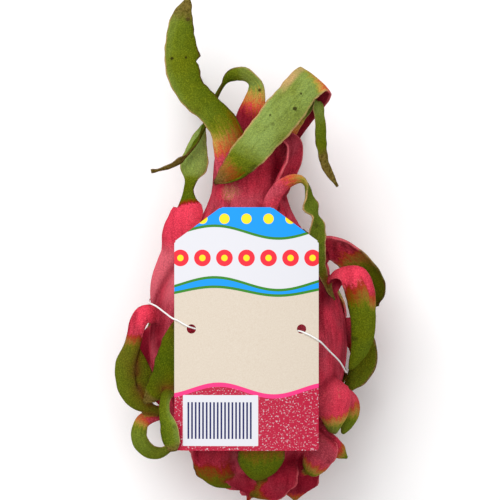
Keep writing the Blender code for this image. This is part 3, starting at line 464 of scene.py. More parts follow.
# Where the body's skin is washed out: (x, y, z, reach)
PALE_PLACES = [(-33.0, 35.0, 62.0, 20.0)]

# Dark spots and worn, straw-coloured patches, as seen from above: (x, y, reach)
SPOTS = [
    (-24.9, 143.1, 1.2), (-31.6, 126.5, 0.9), (-25.8, 126.9, 0.7), (4.8, 113.4, 0.9),
    (19.3, 105.1, 1.1), (21.8, 111.2, 0.6), (9.1, 102.5, 0.6), (-13.2, 75.6, 1.9),
]
WORN = [
    (-7.5, 71.2, 4.6), (43.8, 31.3, 4.6), (36.9, -11.0, 1.1), (37.1, -13.2, 1.3), (9.6, 62.0, 3.0),
]

# What every point of the skin knows for its material, and what the body's own points know
FACTS = ("ripe", "dry", "tone", "edge", "depth", "across", "along")
BODY_FACTS = (-0.6, 0.0, 0.5, 0.0, 0.2, 0.0, 0.0)

# The skin's colours
PINK_FRESH = (0.82, 0.05, 0.095)
PINK_WASHED = (0.76, 0.165, 0.205)
PINK_BRIGHT = (0.76, 0.045, 0.09)
PINK_DUSTY = (0.55, 0.07, 0.105)
PINK_DEEP = (0.14, 0.001, 0.008)
PINK_PALE = (0.8, 0.17, 0.19)
RED_BROWN = (0.26, 0.014, 0.006)
CORAL = (0.6, 0.1, 0.035)
BRONZE = (0.16, 0.065, 0.003)
STRAW = (0.5, 0.27, 0.06)
OLIVE = (0.13, 0.135, 0.001)
LIME = (0.29, 0.31, 0.016)
GREEN_DARK = (0.06, 0.09, 0.003)
GREEN_MIDDLE = (0.122, 0.165, 0.012)
GREEN_LIGHT = (0.25, 0.34, 0.085)
TAN = (0.5, 0.31, 0.13)
BROWN = (0.075, 0.036, 0.01)
SPOT = (0.022, 0.015, 0.004)
FLECK = (0.6, 0.3, 0.1)
STRAW_DULL = (0.2, 0.13, 0.035)

# Tag: a card with cut top corners and two string holes, bowed a little over the belly
TAG_WIDTH = 59.0
TAG_LENGTH = 99.4
TAG_CORNER_X, TAG_CORNER_Y = 19.0, 14.0
TAG_THICKNESS = 0.6
TAG_CENTRE = (-0.6, 14.8)
TAG_BOW_RADIUS = 200.0
TAG_STRIPS = 24
TAG_GAP = 1.7
TAG_TOP = AXIS_HEIGHT + BELLY_RADIUS + TAG_GAP + TAG_THICKNESS
HOLE_SPACING = 45.0
HOLE_DIAMETER = 3.8
HOLE_SIDES = 32
TAG_ROUNDING = 0.6
TAG_ROUNDING_STEPS = 4
TAG_SHARP_ANGLE = 35.0
# the strips' borders lie beside the card's middle, so that none meets a corner or a hole's middle
STRIP_SHIFT = 0.11

# The card's colours
CARD_BEIGE = (0.62, 0.53, 0.43)
CARD_LIGHT = (0.68, 0.6, 0.5)
SKY_BLUE = (0.0, 0.3, 0.92)
SUN_YELLOW = (0.95, 0.72, 0.01)
LEAF_GREEN = (0.035, 0.22, 0.012)
PANEL_WHITE = (0.7, 0.7, 0.745)
TRIM_PINK = (0.86, 0.035, 0.21)
TRIM_RED = (0.45, 0.004, 0.038)
BAR_NAVY = (0.006, 0.01, 0.1)
RING_RED = (0.8, 0.02, 0.04)

# The tag's print, in millimetres from its middle: plain waving bands, rows of dots, and a label.
# A band's course is (its middle, how far it waves, how fast), and each has half its width.
LINE = 1.1
HEAD, HEAD_HALF = (62.0, 1.8, 0.12), 46.0
WHITE_BAND, WHITE_HALF = (29.0, 2.6, 0.12), 10.0
FOOT, FOOT_HALF = (-62.0, 2.4, 0.14), 36.0
LABEL_MIDDLE, LABEL_HALF = (-10.6, -37.4), (15.4, 10.4)
LABEL_ROUNDING = 0.4
BAR_COUNT, BAR_PITCH, BAR_WIDTH, BAR_HEIGHT = 18, 1.5, 0.72, 15.0
DOT_PITCH = 9.0
# Rows of dots: (middle, radius, colour)
DOT_ROWS = [(45.0, 2.1, SUN_YELLOW), (29.0, 3.4, RING_RED), (29.0, 1.3, SUN_YELLOW)]

# String: one closed loop. It goes round the fruit and up through both holes of the tag
ELASTIC_WHITE = (0.86, 0.86, 0.85)
STRING_DIAMETER = 0.7
STRING_STEPS = 5
STRING_BEVEL_STEPS = 4
STRING_ROUTE = [
    (0.0, 14.4, 85.6), (-10.0, 14.3, 85.4), (-17.5, 14.4, 84.8), (-21.0, 14.8, 84.6),
    (-22.9, 15.3, 85.5), (-24.3, 15.8, 86.5), (-26.4, 16.9, 86.4), (-28.8, 18.3, 86.0),
    (-31.0, 19.2, 84.4), (-34.2, 21.4, 78.6), (-37.8, 23.8, 70.0), (-40.8, 25.0, 61.5),
    (-41.3, 25.4, 53.0), (-41.5, 25.8, 44.0), (-41.0, 26.4, 32.4), (-34.2, 27.4, 20.4),
    (-24.2, 28.0, 9.4), (-12.2, 28.0, 3.0), (0.0, 27.2, 1.4), (11.8, 22.8, 2.0), (24.2, 14.0, 5.7),
    (33.8, 5.4, 13.5), (39.4, -0.6, 23.4), (40.4, -3.2, 33.6), (41.2, -3.8, 43.0), (40.8, -3.8, 52.6),
    (38.0, 0.8, 64.4), (33.2, 5.8, 75.4), (30.4, 8.8, 83.4), (28.4, 10.4, 86.0), (25.8, 12.0, 86.5),
    (23.4, 13.1, 86.6), (21.9, 13.7, 85.6), (20.4, 14.0, 84.7), (16.6, 14.2, 84.9), (9.6, 14.4, 85.4),
]

# Camera: straight above, at the photograph's scale of 0.42 mm to a pixel at the axis's height
VIEW_CENTRE = (0.84, 47.04)
VIEW_WIDTH = 210.0
CAMERA_DISTANCE = 1600.0
SENSOR_WIDTH = 36.0
VIEW_DEPTH_METRES = 10.0

# Stage, in metres: soft lights as (name, place, size, power), which point at the fruit's middle
LIGHTS = [("key", (-0.4, 0.75, 1.35), 0.9, 14.5), ("above", (0.0, 0.05, 2.1), 1.2, 12.0)]
LIT_MIDDLE = (0.0, 0.03, 0.03)
WORLD_STRENGTH = 0.49
FLOOR_WHITE = (0.98, 0.98, 0.98)
FLOOR_HALF = 3.0

TINY = 1e-6


def smooth(low, high, value):
    """0 below low, 1 above high, and an eased slope between. Also takes arrays."""
    t = np.clip((value - low) / (high - low), 0.0, 1.0)
    return t * t * (3.0 - 2.0 * t)


def waves(points, size, seed):
    """Smooth noise from about -1 to 1 at each point, made of crossing waves of about that size."""
    rng = np.random.default_rng(seed)
    total = np.zeros(len(points))
    for _ in range(7):
        heading = rng.normal(size=3)
        heading /= np.linalg.norm(heading)
        turns = 2.0 * math.pi / (size * rng.uniform(0.7, 1.6))
        total += np.sin(points @ heading * turns + rng.uniform(0.0, 2.0 * math.pi))
    return total / 3.2


def curve_through(points, steps, closed=False):
    """Points on a smooth curve through the given ones, steps of them to each stretch."""
    count = len(points)

    def control(i):
        return points[i % count] if closed else points[min(max(i, 0), count - 1)]

    made = []
    for i in range(count if closed else count - 1):
        before, start, end, after = (control(i + k) for k in (-1, 0, 1, 2))
        for step in range(steps):
            t = step / steps
            made.append(
                tuple(
                    0.5 * (2 * b + t * (c - a) + t * t * (2 * a - 5 * b + 4 * c - d)
                           + t * t * t * (3 * b - a - 3 * c + d))
                    for a, b, c, d in zip(before, start, end, after)
                )
            )
    if not closed:
        made.append(tuple(points[-1]))
    return made


def evenly_spaced(line, count):
    """count points at even distances along a line, reading every value of each point."""
    line = np.array(line)
    dims = min(line.shape[1], 3)
    steps = np.linalg.norm(np.diff(line[:, :dims], axis=0), axis=1)
    reach = np.concatenate([[0.0], np.cumsum(steps)])
    wanted = np.linspace(0.0, reach[-1], count)
    return np.stack([np.interp(wanted, reach, line[:, k]) for k in range(line.shape[1])], axis=1)


def body_radius(y):
    """The body's radius at y, before its ribs."""
    ys, rs = zip(*BODY_OUTLINE)
    return np.interp(y, ys, rs)


def rib_factor(y, angle):
    """How far the ribs and lobes push the surface out, as a share of its radius."""
    neck = smooth(NECK_START, NECK_FULL, y)
    belly = smooth(-50.0, -20.0, y) * (1.0 - neck)
    sway = 0.5 * np.sin(0.09 * y + 2.0 * angle) + 0.03 * (y - 60.0)
    valley = (1.0 - np.abs(np.sin(0.5 * NECK_RIBS * angle + 0.018 * y + sway))) ** 2.2
    lobes = np.cos(BELLY_LOBES * angle)
    return 1.0 - neck * NECK_RIB_DEPTH * valley + belly * BELLY_LOBE_DEPTH * (lobes - 1.0)


def all_scales():
    """Name, scale for every scale, the hugging ones included."""
    for table in (CROWN_SCALES, SIDE_SCALES, STEM_SCALES):
        yield from table.items()
    rng = np.random.default_rng(7)
    for root_y, angles in HUGGING_ROWS:
        for degrees in angles:
            scale = hugging_scale(root_y, degrees)
            start = 0.5 + 0.15 * rng.uniform()
            scale.update(
                {
                    "green": (start, start + 0.2),
                    "dry": 0.9 + 0.2 * rng.uniform(),
                    "wave": 0.3,
                    "tone": rng.uniform(),
                }
            )
            yield f"hugging_{root_y:.0f}_{degrees:.0f}", scale


def hugging_scale(root_y, degrees):
    """A short scale along the body. It lifts only as far as the floor and the outline allow."""
    angle = math.radians(degrees)
    stations = []
    for along, lift, width in HUGGING_SHAPE:
        y = root_y + along * HUGGING_LENGTH
        radius = float(body_radius(y))
        beside = radius * (1.0 / max(abs(math.cos(angle)), 0.2) - 1.0)
        below = (AXIS_HEIGHT - LEAST_FLOOR_GAP) / max(-math.sin(angle), 0.05) - radius
        raised = min(lift * HUGGING_LIFT, beside, below)
        reach = radius + raised
        x, z = reach * math.cos(angle) * BODY_SQUASH, AXIS_HEIGHT + reach * math.sin(angle)
        stations.append((x, y, z, width * HUGGING_WIDTH))
    return {
        "stations": stations,
        "across": {0: (math.sin(angle), 0.0, -math.cos(angle))},
        "cup": HUGGING_CUP,
        "thick": HUGGING_THICK,
    }


def mesh_object(name, verts, faces):
    mesh = bpy.data.meshes.new(name)
    mesh.from_pydata(verts, [], faces)
    mesh.update()
    obj = bpy.data.objects.new(name, mesh)
    bpy.context.scene.collection.objects.link(obj)
    return obj


def swells(points, roots):
    """How far each body point is pushed out by the ridges behind the scales' roots."""
    total = np.zeros(len(points))
    for place, way, width in roots:
        away = points - place
        ahead = away[:, 1] * way
        beside = np.hypot(away[:, 0], away[:, 2])
        reach = np.where(ahead > 0.0, SWELL_AHEAD, SWELL_BEHIND)
        spread = SWELL_HALF_WIDTH * width / SWELL_SCALE_WIDTH
        total = np.maximum(total, np.exp(-((ahead / reach) ** 2) - (beside / spread) ** 2))
    return total * SWELL_HEIGHT


def surface_roots():
    """(point on the body, +1 or -1 for the way it grows along Y, width) of every scale."""
    roots = []
    for _, scale in all_scales():
        (x0, y0, z0, width), (x1, y1, z1, _) = scale["stations"][:2]
        angle = math.atan2(z1 - AXIS_HEIGHT, x1)
        y = 0.5 * (y0 + y1)
        radius = float(body_radius(y))
        place = np.array((radius * math.cos(angle), y, AXIS_HEIGHT + radius * math.sin(angle)))
        roots.append((place, 1.0 if y1 >= y0 else -1.0, width))
    return roots


def body_grid():
    """Y, angle and radius at every point of the body's rings, before its ribs."""
    soft = curve_through(BODY_OUTLINE, 6)
    profile = np.array(STEM_OUTLINE[1:] + soft + CROWN_OUTLINE[:-1])
    length = np.linalg.norm(np.diff(profile, axis=0), axis=1).sum()
    profile = evenly_spaced(profile, int(length / BODY_RING_SPACING))
    angles = np.linspace(0.0, 2.0 * math.pi, BODY_SIDES, endpoint=False)
    y, angle = np.meshgrid(profile[:, 0], angles, indexing="ij")
    return y, angle, np.repeat(profile[:, 1][:, None], BODY_SIDES, axis=1)


def body_growth(points):
    """How far each point of the body is pushed out, by ridges and by fine unevenness."""
    grown = swells(points, surface_roots())
    for height, size, seed in UNEVENNESS:
        grown = grown + height * waves(points, size, seed)
    # the flat spot, the sides and the belly under the tag stay where the frame has them
    beside, above = np.abs(points[:, 0]), np.abs(points[:, 2] - AXIS_HEIGHT)
    grown *= 1.0 - smooth(*CALM_AWAY, np.maximum(above, beside)) * CALM_AWAY_SHARE
    sideways = beside / np.maximum(np.hypot(beside, above), TINY)
    return grown * (1.0 - smooth(*CALM_SIDES, sideways) * CALM_SIDES_SHARE)


def body_faces(rows):
    """Quads between the body's rings, and a fan at each end."""
    faces = []
    last_ring = (rows - 1) * BODY_SIDES
    for ring in range(0, last_ring, BODY_SIDES):
        for k in range(BODY_SIDES):
            a, b = ring + k, ring + (k + 1) % BODY_SIDES
            faces.append((a, a + BODY_SIDES, b + BODY_SIDES, b))
    stem, crown = rows * BODY_SIDES, rows * BODY_SIDES + 1
    for k in range(BODY_SIDES):
        following = (k + 1) % BODY_SIDES
        faces.append((stem, k, following))
        faces.append((crown, last_ring + following, last_ring + k))
    return faces


def make_body():
    """The body as rings, with ribs, ridges behind the scales' roots, and fine unevenness."""
    y, angle, radius = body_grid()
    skin = smooth(*SKIN_FROM_RADIUS, radius)
    radius = radius * (1.0 + (rib_factor(y, angle) - 1.0) * skin)
    points = np.stack([radius * np.cos(angle), y, AXIS_HEIGHT + radius * np.sin(angle)], axis=-1)
    points = points.reshape(-1, 3)
    outward = (points - (0.0, 0.0, AXIS_HEIGHT)) * (1.0, 0.0, 1.0)
    outward /= np.maximum(np.linalg.norm(outward, axis=1), TINY)[:, None]
    points = points + outward * (body_growth(points) * skin.reshape(-1))[:, None]
    points[:, 0] *= BODY_SQUASH
    ends = [(0.0, STEM_OUTLINE[0][0], AXIS_HEIGHT), (0.0, CROWN_OUTLINE[-1][0], AXIS_HEIGHT)]
    verts = np.vstack([points, ends])
    return mesh_object("body_source", verts * MM, body_faces(len(y))), verts


def across_at(across, place):
    """The width's direction at a place counted in stations, between those that are given."""
    keys = sorted(across)
    if place <= keys[0]:
        return np.array(across[keys[0]])
    for low, high in zip(keys, keys[1:]):
        if place <= high:
            t = (place - low) / (high - low)
            return np.array(across[low]) * (1.0 - t) + np.array(across[high]) * t
    return np.array(across[keys[-1]])


def section_offsets(width, cup, thickness, ripple):
    """(along the width, along the normal, across, side) round one section of a blade."""
    half_angle = math.radians(max(abs(cup), 1.0))
    radius = 0.5 * width / math.sin(half_angle)
    side = 1.0 if cup >= 0 else -1.0
    across = np.sin(np.linspace(-0.5, 0.5, ACROSS_STEPS) * math.pi)
    rows = []
    for face, values in ((1.0, across), (-1.0, across[::-1])):
        turn = values * half_angle
        lens = np.maximum(1.0 - values**2, 0.0) ** LENS_POWER
        half = 0.5 * (FINE_EDGE + (thickness - FINE_EDGE) * lens)
        lift = ripple * np.abs(values) ** RIPPLE_POWER * np.where(values > 0, 1.0, OTHER_MARGIN_RIPPLE)
        wide = radius * np.sin(turn) + face * half * side * np.sin(turn)
        high = side * radius * (np.cos(turn) - 1.0) + face * half * np.cos(turn) + lift
        rows.append(np.stack([wide, high, values, np.full(len(values), face)], axis=1))
    return np.vstack(rows)


def blade_line(scale):
    """Even rings along a blade, as (x, y, z, width, place in stations), and the blade's length."""
    places = [(*station, float(i)) for i, station in enumerate(scale["stations"])]
    fine = curve_through(places, 12)
    length = sum(math.dist(a[:3], b[:3]) for a, b in zip(fine, fine[1:]))
    rings = max(LEAST_RINGS, round(length / RING_SPACING) + 1)
    return evenly_spaced(fine, rings), length


def ring_axes(points, i, across):
    """The direction of a ring's width, and its normal."""
    before, after = points[max(i - 1, 0), :3], points[min(i + 1, len(points) - 1), :3]
    tangent = (after - before) / np.linalg.norm(after - before)
    wide = across_at(across, points[i, 4])
    wide = wide - tangent * wide.dot(tangent)
    wide /= np.linalg.norm(wide)
    return wide, np.cross(wide, tangent)


def margin_change(scale, s, run, side, start):
    """How far one margin runs out at a ring: its fine waves, and its bites and teeth."""
    slow, fast = FRAY_REACHES
    fray = math.sin(run / slow + start) + 0.8 * math.sin(run / fast + 2.0 * start)
    change = 0.3 * scale["wave"] * fray * float(smooth(*CALM_ROOT, s))
    for place, bitten, depth, span in scale.get("nicks", ()):
        change += depth * (bitten == side) * math.exp(-(((s - place) / span) ** 2))
    return change


def loft_faces(rings, around):
    """Quads between a blade's rings, and a cap at each end."""
    faces = []
    for ring in range(0, (rings - 1) * around, around):
        for k in range(around):
            a, b = ring + k, ring + (k + 1) % around
            faces.append((a, b, b + around, a + around))
    faces.append(tuple(range(around))[::-1])
    faces.append(tuple((rings - 1) * around + k for k in range(around)))
    return faces


def make_blade(name, scale, seed):
    """A scale lofted through its stations, and what its points know: along, across, side."""
    points, length = blade_line(scale)
    phase = np.random.default_rng(seed).uniform(0.0, 2.0 * math.pi, 3)
    root, tip = scale["thick"]
    slow, fast = RIPPLE_REACHES
    verts, facts = [], []
    for i, (x, y, z, width, _) in enumerate(points):
        s = i / (len(points) - 1)
        run = s * length
        wide, normal = ring_axes(points, i, scale["across"])
        sway = math.sin(run / WIDTH_WAVE_REACH + phase[0])
        width *= 1.0 + WIDTH_WAVE * sway * smooth(0.1, 0.4, s)
        thickness = min(tip + (root - tip) * (1.0 - s) ** THINNING_POWER, 0.9 * max(width, 1.2))
        ripple = scale["wave"] * float(smooth(*CALM_ROOT, s)) * (
            math.sin(run / slow + phase[1]) + 0.6 * math.sin(run / fast + phase[2])
        )
        offsets = section_offsets(max(width, LEAST_WIDTH), scale["cup"], thickness, ripple)
        for side, start in ((1.0, phase[1]), (-1.0, phase[2])):
            change = margin_change(scale, s, run, side, start)
            offsets[:, 0] += side * change * np.clip(offsets[:, 2] * side, 0.0, 1.0) ** 5
        verts.append(np.array((x, y, z)) + offsets[:, :1] * wide + offsets[:, 1:2] * normal)
        facts.append(np.column_stack([np.full(len(offsets), s), offsets[:, 2], offsets[:, 3]]))
    verts = np.vstack(verts)
    obj = mesh_object(name, verts * MM, loft_faces(len(points), 2 * ACROSS_STEPS))
    bm = bmesh.new()
    bm.from_mesh(obj.data)
    bmesh.ops.recalc_face_normals(bm, faces=bm.faces)
    bm.to_mesh(obj.data)
    bm.free()
    return obj, verts, np.vstack(facts)


def boolean(obj, operation, operands):
    """Joins a whole collection to the object, or cuts it away, and applies that."""
    step = obj.modifiers.new("boolean", "BOOLEAN")
    step.operation = operation
    step.operand_type = "COLLECTION"
    step.collection = operands
    step.solver = "MANIFOLD"
    mesh = bpy.data.meshes.new_from_object(obj.evaluated_get(bpy.context.evaluated_depsgraph_get()))
    obj.modifiers.clear()
    obj.data = mesh
    for operand in list(operands.objects):
        bpy.data.objects.remove(operand)
    bpy.data.collections.remove(operands)


def gather(name, objects):
    """Moves objects to a collection of their own."""
    made = bpy.data.collections.new(name)
    bpy.context.scene.collection.children.link(made)
    for obj in objects:
        for home in list(obj.users_collection):
            home.objects.unlink(obj)
        made.objects.link(obj)
    return made


def tree_of(points):
    tree = kdtree.KDTree(len(points))
    for i, point in enumerate(points):
        tree.insert(point, i)
    tree.balance()
    return tree


def round_the_joins(points, facts, edges, seam):
    """Relaxes the points near where scales meet the body, and what they know with them."""
    tree = tree_of(points[seam])
    gaps = np.array([tree.find(point)[2] for point in points])
    weight = (1.0 - smooth(0.0, FILLET_REACH, gaps))[:, None]
    count = np.bincount(edges.reshape(-1), minlength=len(points)).astype(float)[:, None]
    both = np.hstack([points, facts])
    for _ in range(FILLET_ROUNDS):
        total = np.zeros_like(both)
        for k in range(both.shape[1]):
            total[:, k] = np.bincount(edges[:, 0], both[edges[:, 1], k], len(points))
            total[:, k] += np.bincount(edges[:, 1], both[edges[:, 0], k], len(points))
        both += FILLET_PULL * weight * (total / np.maximum(count, 1.0) - both)
    return both[:, :3], both[:, 3:], gaps


def along_scale(value, along):
    """A number, or a row of (place, number), read at each place along a scale."""
    return np.interp(along, *zip(*value)) if isinstance(value, list) else np.full(len(along), value)


def blade_facts(scale, along, across, side):
    """What the material needs to know at each point of a blade, in the order of FACTS."""
    low, high = scale["green"]
    ripe = np.clip((along - low) / (high - low), -0.6, 2.0)
    past_root = smooth(0.05, 0.2, along)
    # painted shade on the hollow face, from a little past the root
    hollow = scale.get("hollow", 1.0) * (side * scale["cup"] < 0) * past_root
    if "blush" in scale:
        margin, share, start, end, strength = scale["blush"]
        where = smooth(start, start + 0.1, along) * (1.0 - smooth(end - 0.15, end, along))
        where = where * smooth(share, share + 0.15, across * margin)
        ripe -= strength * where
        hollow = hollow * (1.0 - where)
    dry = smooth(scale["dry"] - 0.06, scale["dry"] + 0.05, along)
    edge = smooth(0.86, 0.97, np.abs(across)) * smooth(0.2, 0.45, along)
    if "rim" in scale:
        margin, start, end, share = scale["rim"]
        where = smooth(start, start + 0.04, along) * (1.0 - smooth(end - 0.08, end, along))
        edge = np.maximum(edge, smooth(share, share + 0.06, across * margin) * where)
    # painted light and shade: the tone slopes lighter or darker across the width
    tone = along_scale(scale["tone"], along) + scale.get("slope", 0.0) * across
    pink = 1.0 - smooth(0.0, 0.5, ripe)
    deep = along_scale(scale.get("deep", 0.0), along) * pink * past_root
    # depth: the scale's own crimson, with painted shade on the hollow face over it
    depth = hollow + (1.0 - hollow) * deep
    run = along * len(scale["stations"])
    return np.column_stack([ripe, dry, np.clip(tone, 0.0, 1.0), edge, depth, across, run])


def body_facts(points):
    """The same for the body, with painted shade that turns it crimson where it lies in shadow among the
    scales, and its washed-out places.
    """
    facts = np.tile(BODY_FACTS, (len(points), 1))
    # painted shade: depth rises towards the shaded places among the scales
    for fact, places in (("depth", PAINTED_SHADE_PLACES), ("tone", PALE_PLACES)):
        values = facts[:, FACTS.index(fact)]
        for x, y, z, reach in places:
            away = np.linalg.norm(points - (x, y, z), axis=1)
            np.maximum(values, np.exp(-((away / reach) ** 2)), out=values)
    return facts


def cut_level(body):
    """Cuts away what lies under the floor, which leaves the flat spot."""
    slab = bmesh.new()
    bmesh.ops.create_cube(slab, size=1.0)
    for vert in slab.verts:
        vert.co = Vector((vert.co.x * SLAB_SIDE, vert.co.y * SLAB_SIDE, (vert.co.z - 0.5) * SLAB_DEPTH))
    mesh = bpy.data.meshes.new("slab")
    slab.to_mesh(mesh)
    slab.free()
    below = bpy.data.objects.new("slab", mesh)
    bpy.context.scene.collection.objects.link(below)
    boolean(body, "DIFFERENCE", gather("below_the_floor", [below]))


def shell_from(start, seen):
    """All faces that hang together with one face. Adds them to those that were seen."""
    seen.add(start)
    shell, stack = [], [start]
    while stack:
        face = stack.pop()
        shell.append(face)
        for edge in face.edges:
            for other in edge.link_faces:
                if other not in seen:
                    seen.add(other)
                    stack.append(other)
    return shell


def drop_crumbs(mesh):
    """Removes loose slivers that a join leaves between two crossing scales."""
    bm = bmesh.new()
    bm.from_mesh(mesh)
    seen = set()
    for start in bm.faces[:]:
        if start in seen:
            continue
        shell = shell_from(start, seen)
        if len(shell) < LEAST_SHELL_FACES:
            bmesh.ops.delete(bm, geom=shell, context="FACES")
    bm.to_mesh(mesh)
    bm.free()


def points_and_edges(mesh):
    """A mesh's points in millimetres, and its edges as pairs of point numbers."""
    points = np.empty(len(mesh.vertices) * 3)
    mesh.vertices.foreach_get("co", points)
    edges = np.empty(len(mesh.edges) * 2, dtype=np.int64)
    mesh.edges.foreach_get("vertices", edges)
    return points.reshape(-1, 3) / MM, edges.reshape(-1, 2)


def make_fruit():
    """One skin over body and scales, with what the material needs to know at every point."""
    body, body_points = make_body()
    blades, clouds, known = [], [body_points], [body_facts(body_points)]
    for seed, (name, scale) in enumerate(all_scales()):
        obj, verts, facts = make_blade(name, scale, seed)
        blades.append(obj)
        clouds.append(verts)
        known.append(blade_facts(scale, *facts.T))
    boolean(body, "UNION", gather("scales", blades))
    cut_level(body)
    drop_crumbs(body.data)

    # each point of the joined skin knows what its nearest point on the body or a blade knew
    mesh = body.data
    points, edges = points_and_edges(mesh)
    tree = tree_of(np.vstack(clouds))
    found = [tree.find(point) for point in points]
    facts = np.vstack(known)[[hit[1] for hit in found]]
    gaps = np.array([hit[2] for hit in found])
    seam = (gaps > SEAM_GAP) & (points[:, 2] > CLEAR_OF_FLOOR)
    flat = points[:, 2] < ON_FLOOR
    points, facts, near = round_the_joins(points, facts, edges, seam)
    points[flat, 2] = 0.0
    points[:, 2] = np.maximum(points[:, 2], 0.0)
    mesh.vertices.foreach_set("co", (points * MM).reshape(-1))
    # painted shade: the colour darkens towards the joins of scales and body
    crease = np.exp(-near / CREASE_SHADE_REACH)
    for name, values in zip((*FACTS, "crease"), (*facts.T, crease)):
        made = mesh.attributes.new(name, "FLOAT", "POINT")
        made.data.foreach_set("value", values.astype(np.float32))
    mesh.update()
    mesh.shade_smooth()
    body.name = "fruit"
    return body


class Nodes:
    """Short calls for building a material's nodes."""

    def __init__(self, name):
        self.material = bpy.data.materials.new(name)
        self.material.use_nodes = True
        self.tree = self.material.node_tree
        self.shader = self.tree.nodes["Principled BSDF"]

    def put(self, socket, value):
        if isinstance(value, bpy.types.NodeSocket):
            self.tree.links.new(value, socket)
        elif isinstance(value, tuple) and len(value) == 3 and socket.type == "RGBA":
            socket.default_value = (*value, 1.0)
        else:
            socket.default_value = value

    def node(self, kind, inputs=(), output=0, **settings):
        made = self.tree.nodes.new(kind)
        for key, value in settings.items():
            setattr(made, key, value)
        for key, value in dict(inputs).items():
            self.put(made.inputs[key], value)
        return made.outputs[output]

    def fact(self, name):
        """What each point of the mesh knows under that name."""
        return self.node("ShaderNodeAttribute", attribute_name=name, attribute_type="GEOMETRY", output="Fac")

    def placed(self, **settings):
        """Places on the object, turned or stretched."""
        place = self.node("ShaderNodeTexCoord", output="Object")
        return self.node("ShaderNodeMapping", {"Vector": place, **settings}) if settings else place

    def parts(self, vector):
        made = self.tree.nodes.new("ShaderNodeSeparateXYZ")
        self.put(made.inputs[0], vector)
        return made.outputs

    def math(self, operation, a, b=0.0, clamp=False):
        return self.node("ShaderNodeMath", {0: a, 1: b}, operation=operation, use_clamp=clamp)

    def times(self, a, b):
        return self.math("MULTIPLY", a, b)

    def plus(self, a, b):
        return self.math("ADD", a, b)

    def minus(self, a, b):
        return self.math("SUBTRACT", a, b)

    def distance(self, a, b):
        """The length of (a, b)."""
        return self.math("SQRT", self.plus(self.math("POWER", a, 2.0), self.math("POWER", b, 2.0)))

    def span(self, value, low, high, top=1.0, bottom=0.0):
        """bottom up to low, top from high on, and an even slope between."""
        return self.node("ShaderNodeMapRange", {0: value, 1: low, 2: high, 3: bottom, 4: top})

    def noise(self, scale, detail=2.0, vector=None, roughness=0.5):
        inputs = {"Scale": scale, "Detail": detail, "Roughness": roughness}
        if vector is not None:
            inputs["Vector"] = vector
        return self.node("ShaderNodeTexNoise", inputs, output="Fac")

    def mix(self, factor, a, b):
        made = self.tree.nodes.new("ShaderNodeMix")
        made.data_type = "RGBA"
        self.put(made.inputs["Factor"], factor)
        self.put(made.inputs[6], a)
        self.put(made.inputs[7], b)
        return made.outputs[2]

    def layers(self, colour, rows):
        """Lays colours over one another. A row is (field, from, to, strength, colour)."""
        for field, low, high, strength, over in rows:
            colour = self.mix(self.span(field, low, high, strength), colour, over)
        return colour

    def ramp(self, factor, stops):
        made = self.tree.nodes.new("ShaderNodeValToRGB")
        self.put(made.inputs[0], factor)
        elements = made.color_ramp.elements
        while len(elements) < len(stops):
            elements.new(0.5)
        for element, (place, colour) in zip(elements, stops):
            element.position = place
            element.color = (*colour, 1.0)
        return made.outputs[0]

    def set(self, **values):
        names = {name.replace(" ", "_").lower(): name for name in self.shader.inputs.keys()}
        for key, value in values.items():
            self.put(self.shader.inputs[names[key]], value)

    def bump(self, height, distance, strength=1.0):
        return self.node("ShaderNodeBump", {"Height": height, "Distance": distance, "Strength": strength})


def pink_colour(n, coarse, fine, grain, streaks, folds):
    """Pink skin: mottled and streaked, paler or deeper by place, with painted shade on hollow faces and in
    shaded places, and with worn patches.
    """
    tone, depth = n.fact("tone"), n.fact("depth")
    pink = n.mix(n.span(coarse, 0.38, 0.62), PINK_BRIGHT, PINK_DUSTY)
    pink = n.layers(pink, [
        (streaks, 0.42, 0.72, 0.5, PINK_DEEP),
        (folds, 0.56, 0.66, 0.6, PINK_DEEP),
        (grain, 0.5, 0.8, 0.4, PINK_PALE),
        (fine, 0.68, 0.76, 0.5, FLECK),
        (tone, 0.7, 1.0, 0.75, PINK_WASHED),
        (depth, 0.0, -1.0, 0.65, PINK_FRESH),
    ])
    # deep crimson by depth: partly the skin's own crimson, partly painted shade on hollow faces and in
    # shaded places on the body
    pink = n.mix(n.times(depth, 0.9), pink, PINK_DEEP)
    flecked = n.times(patches(n, fine, WORN, 0.8), n.span(streaks, 0.4, 0.6))
    return n.mix(flecked, pink, n.mix(n.span(grain, 0.4, 0.6), STRAW, PINK_WASHED))


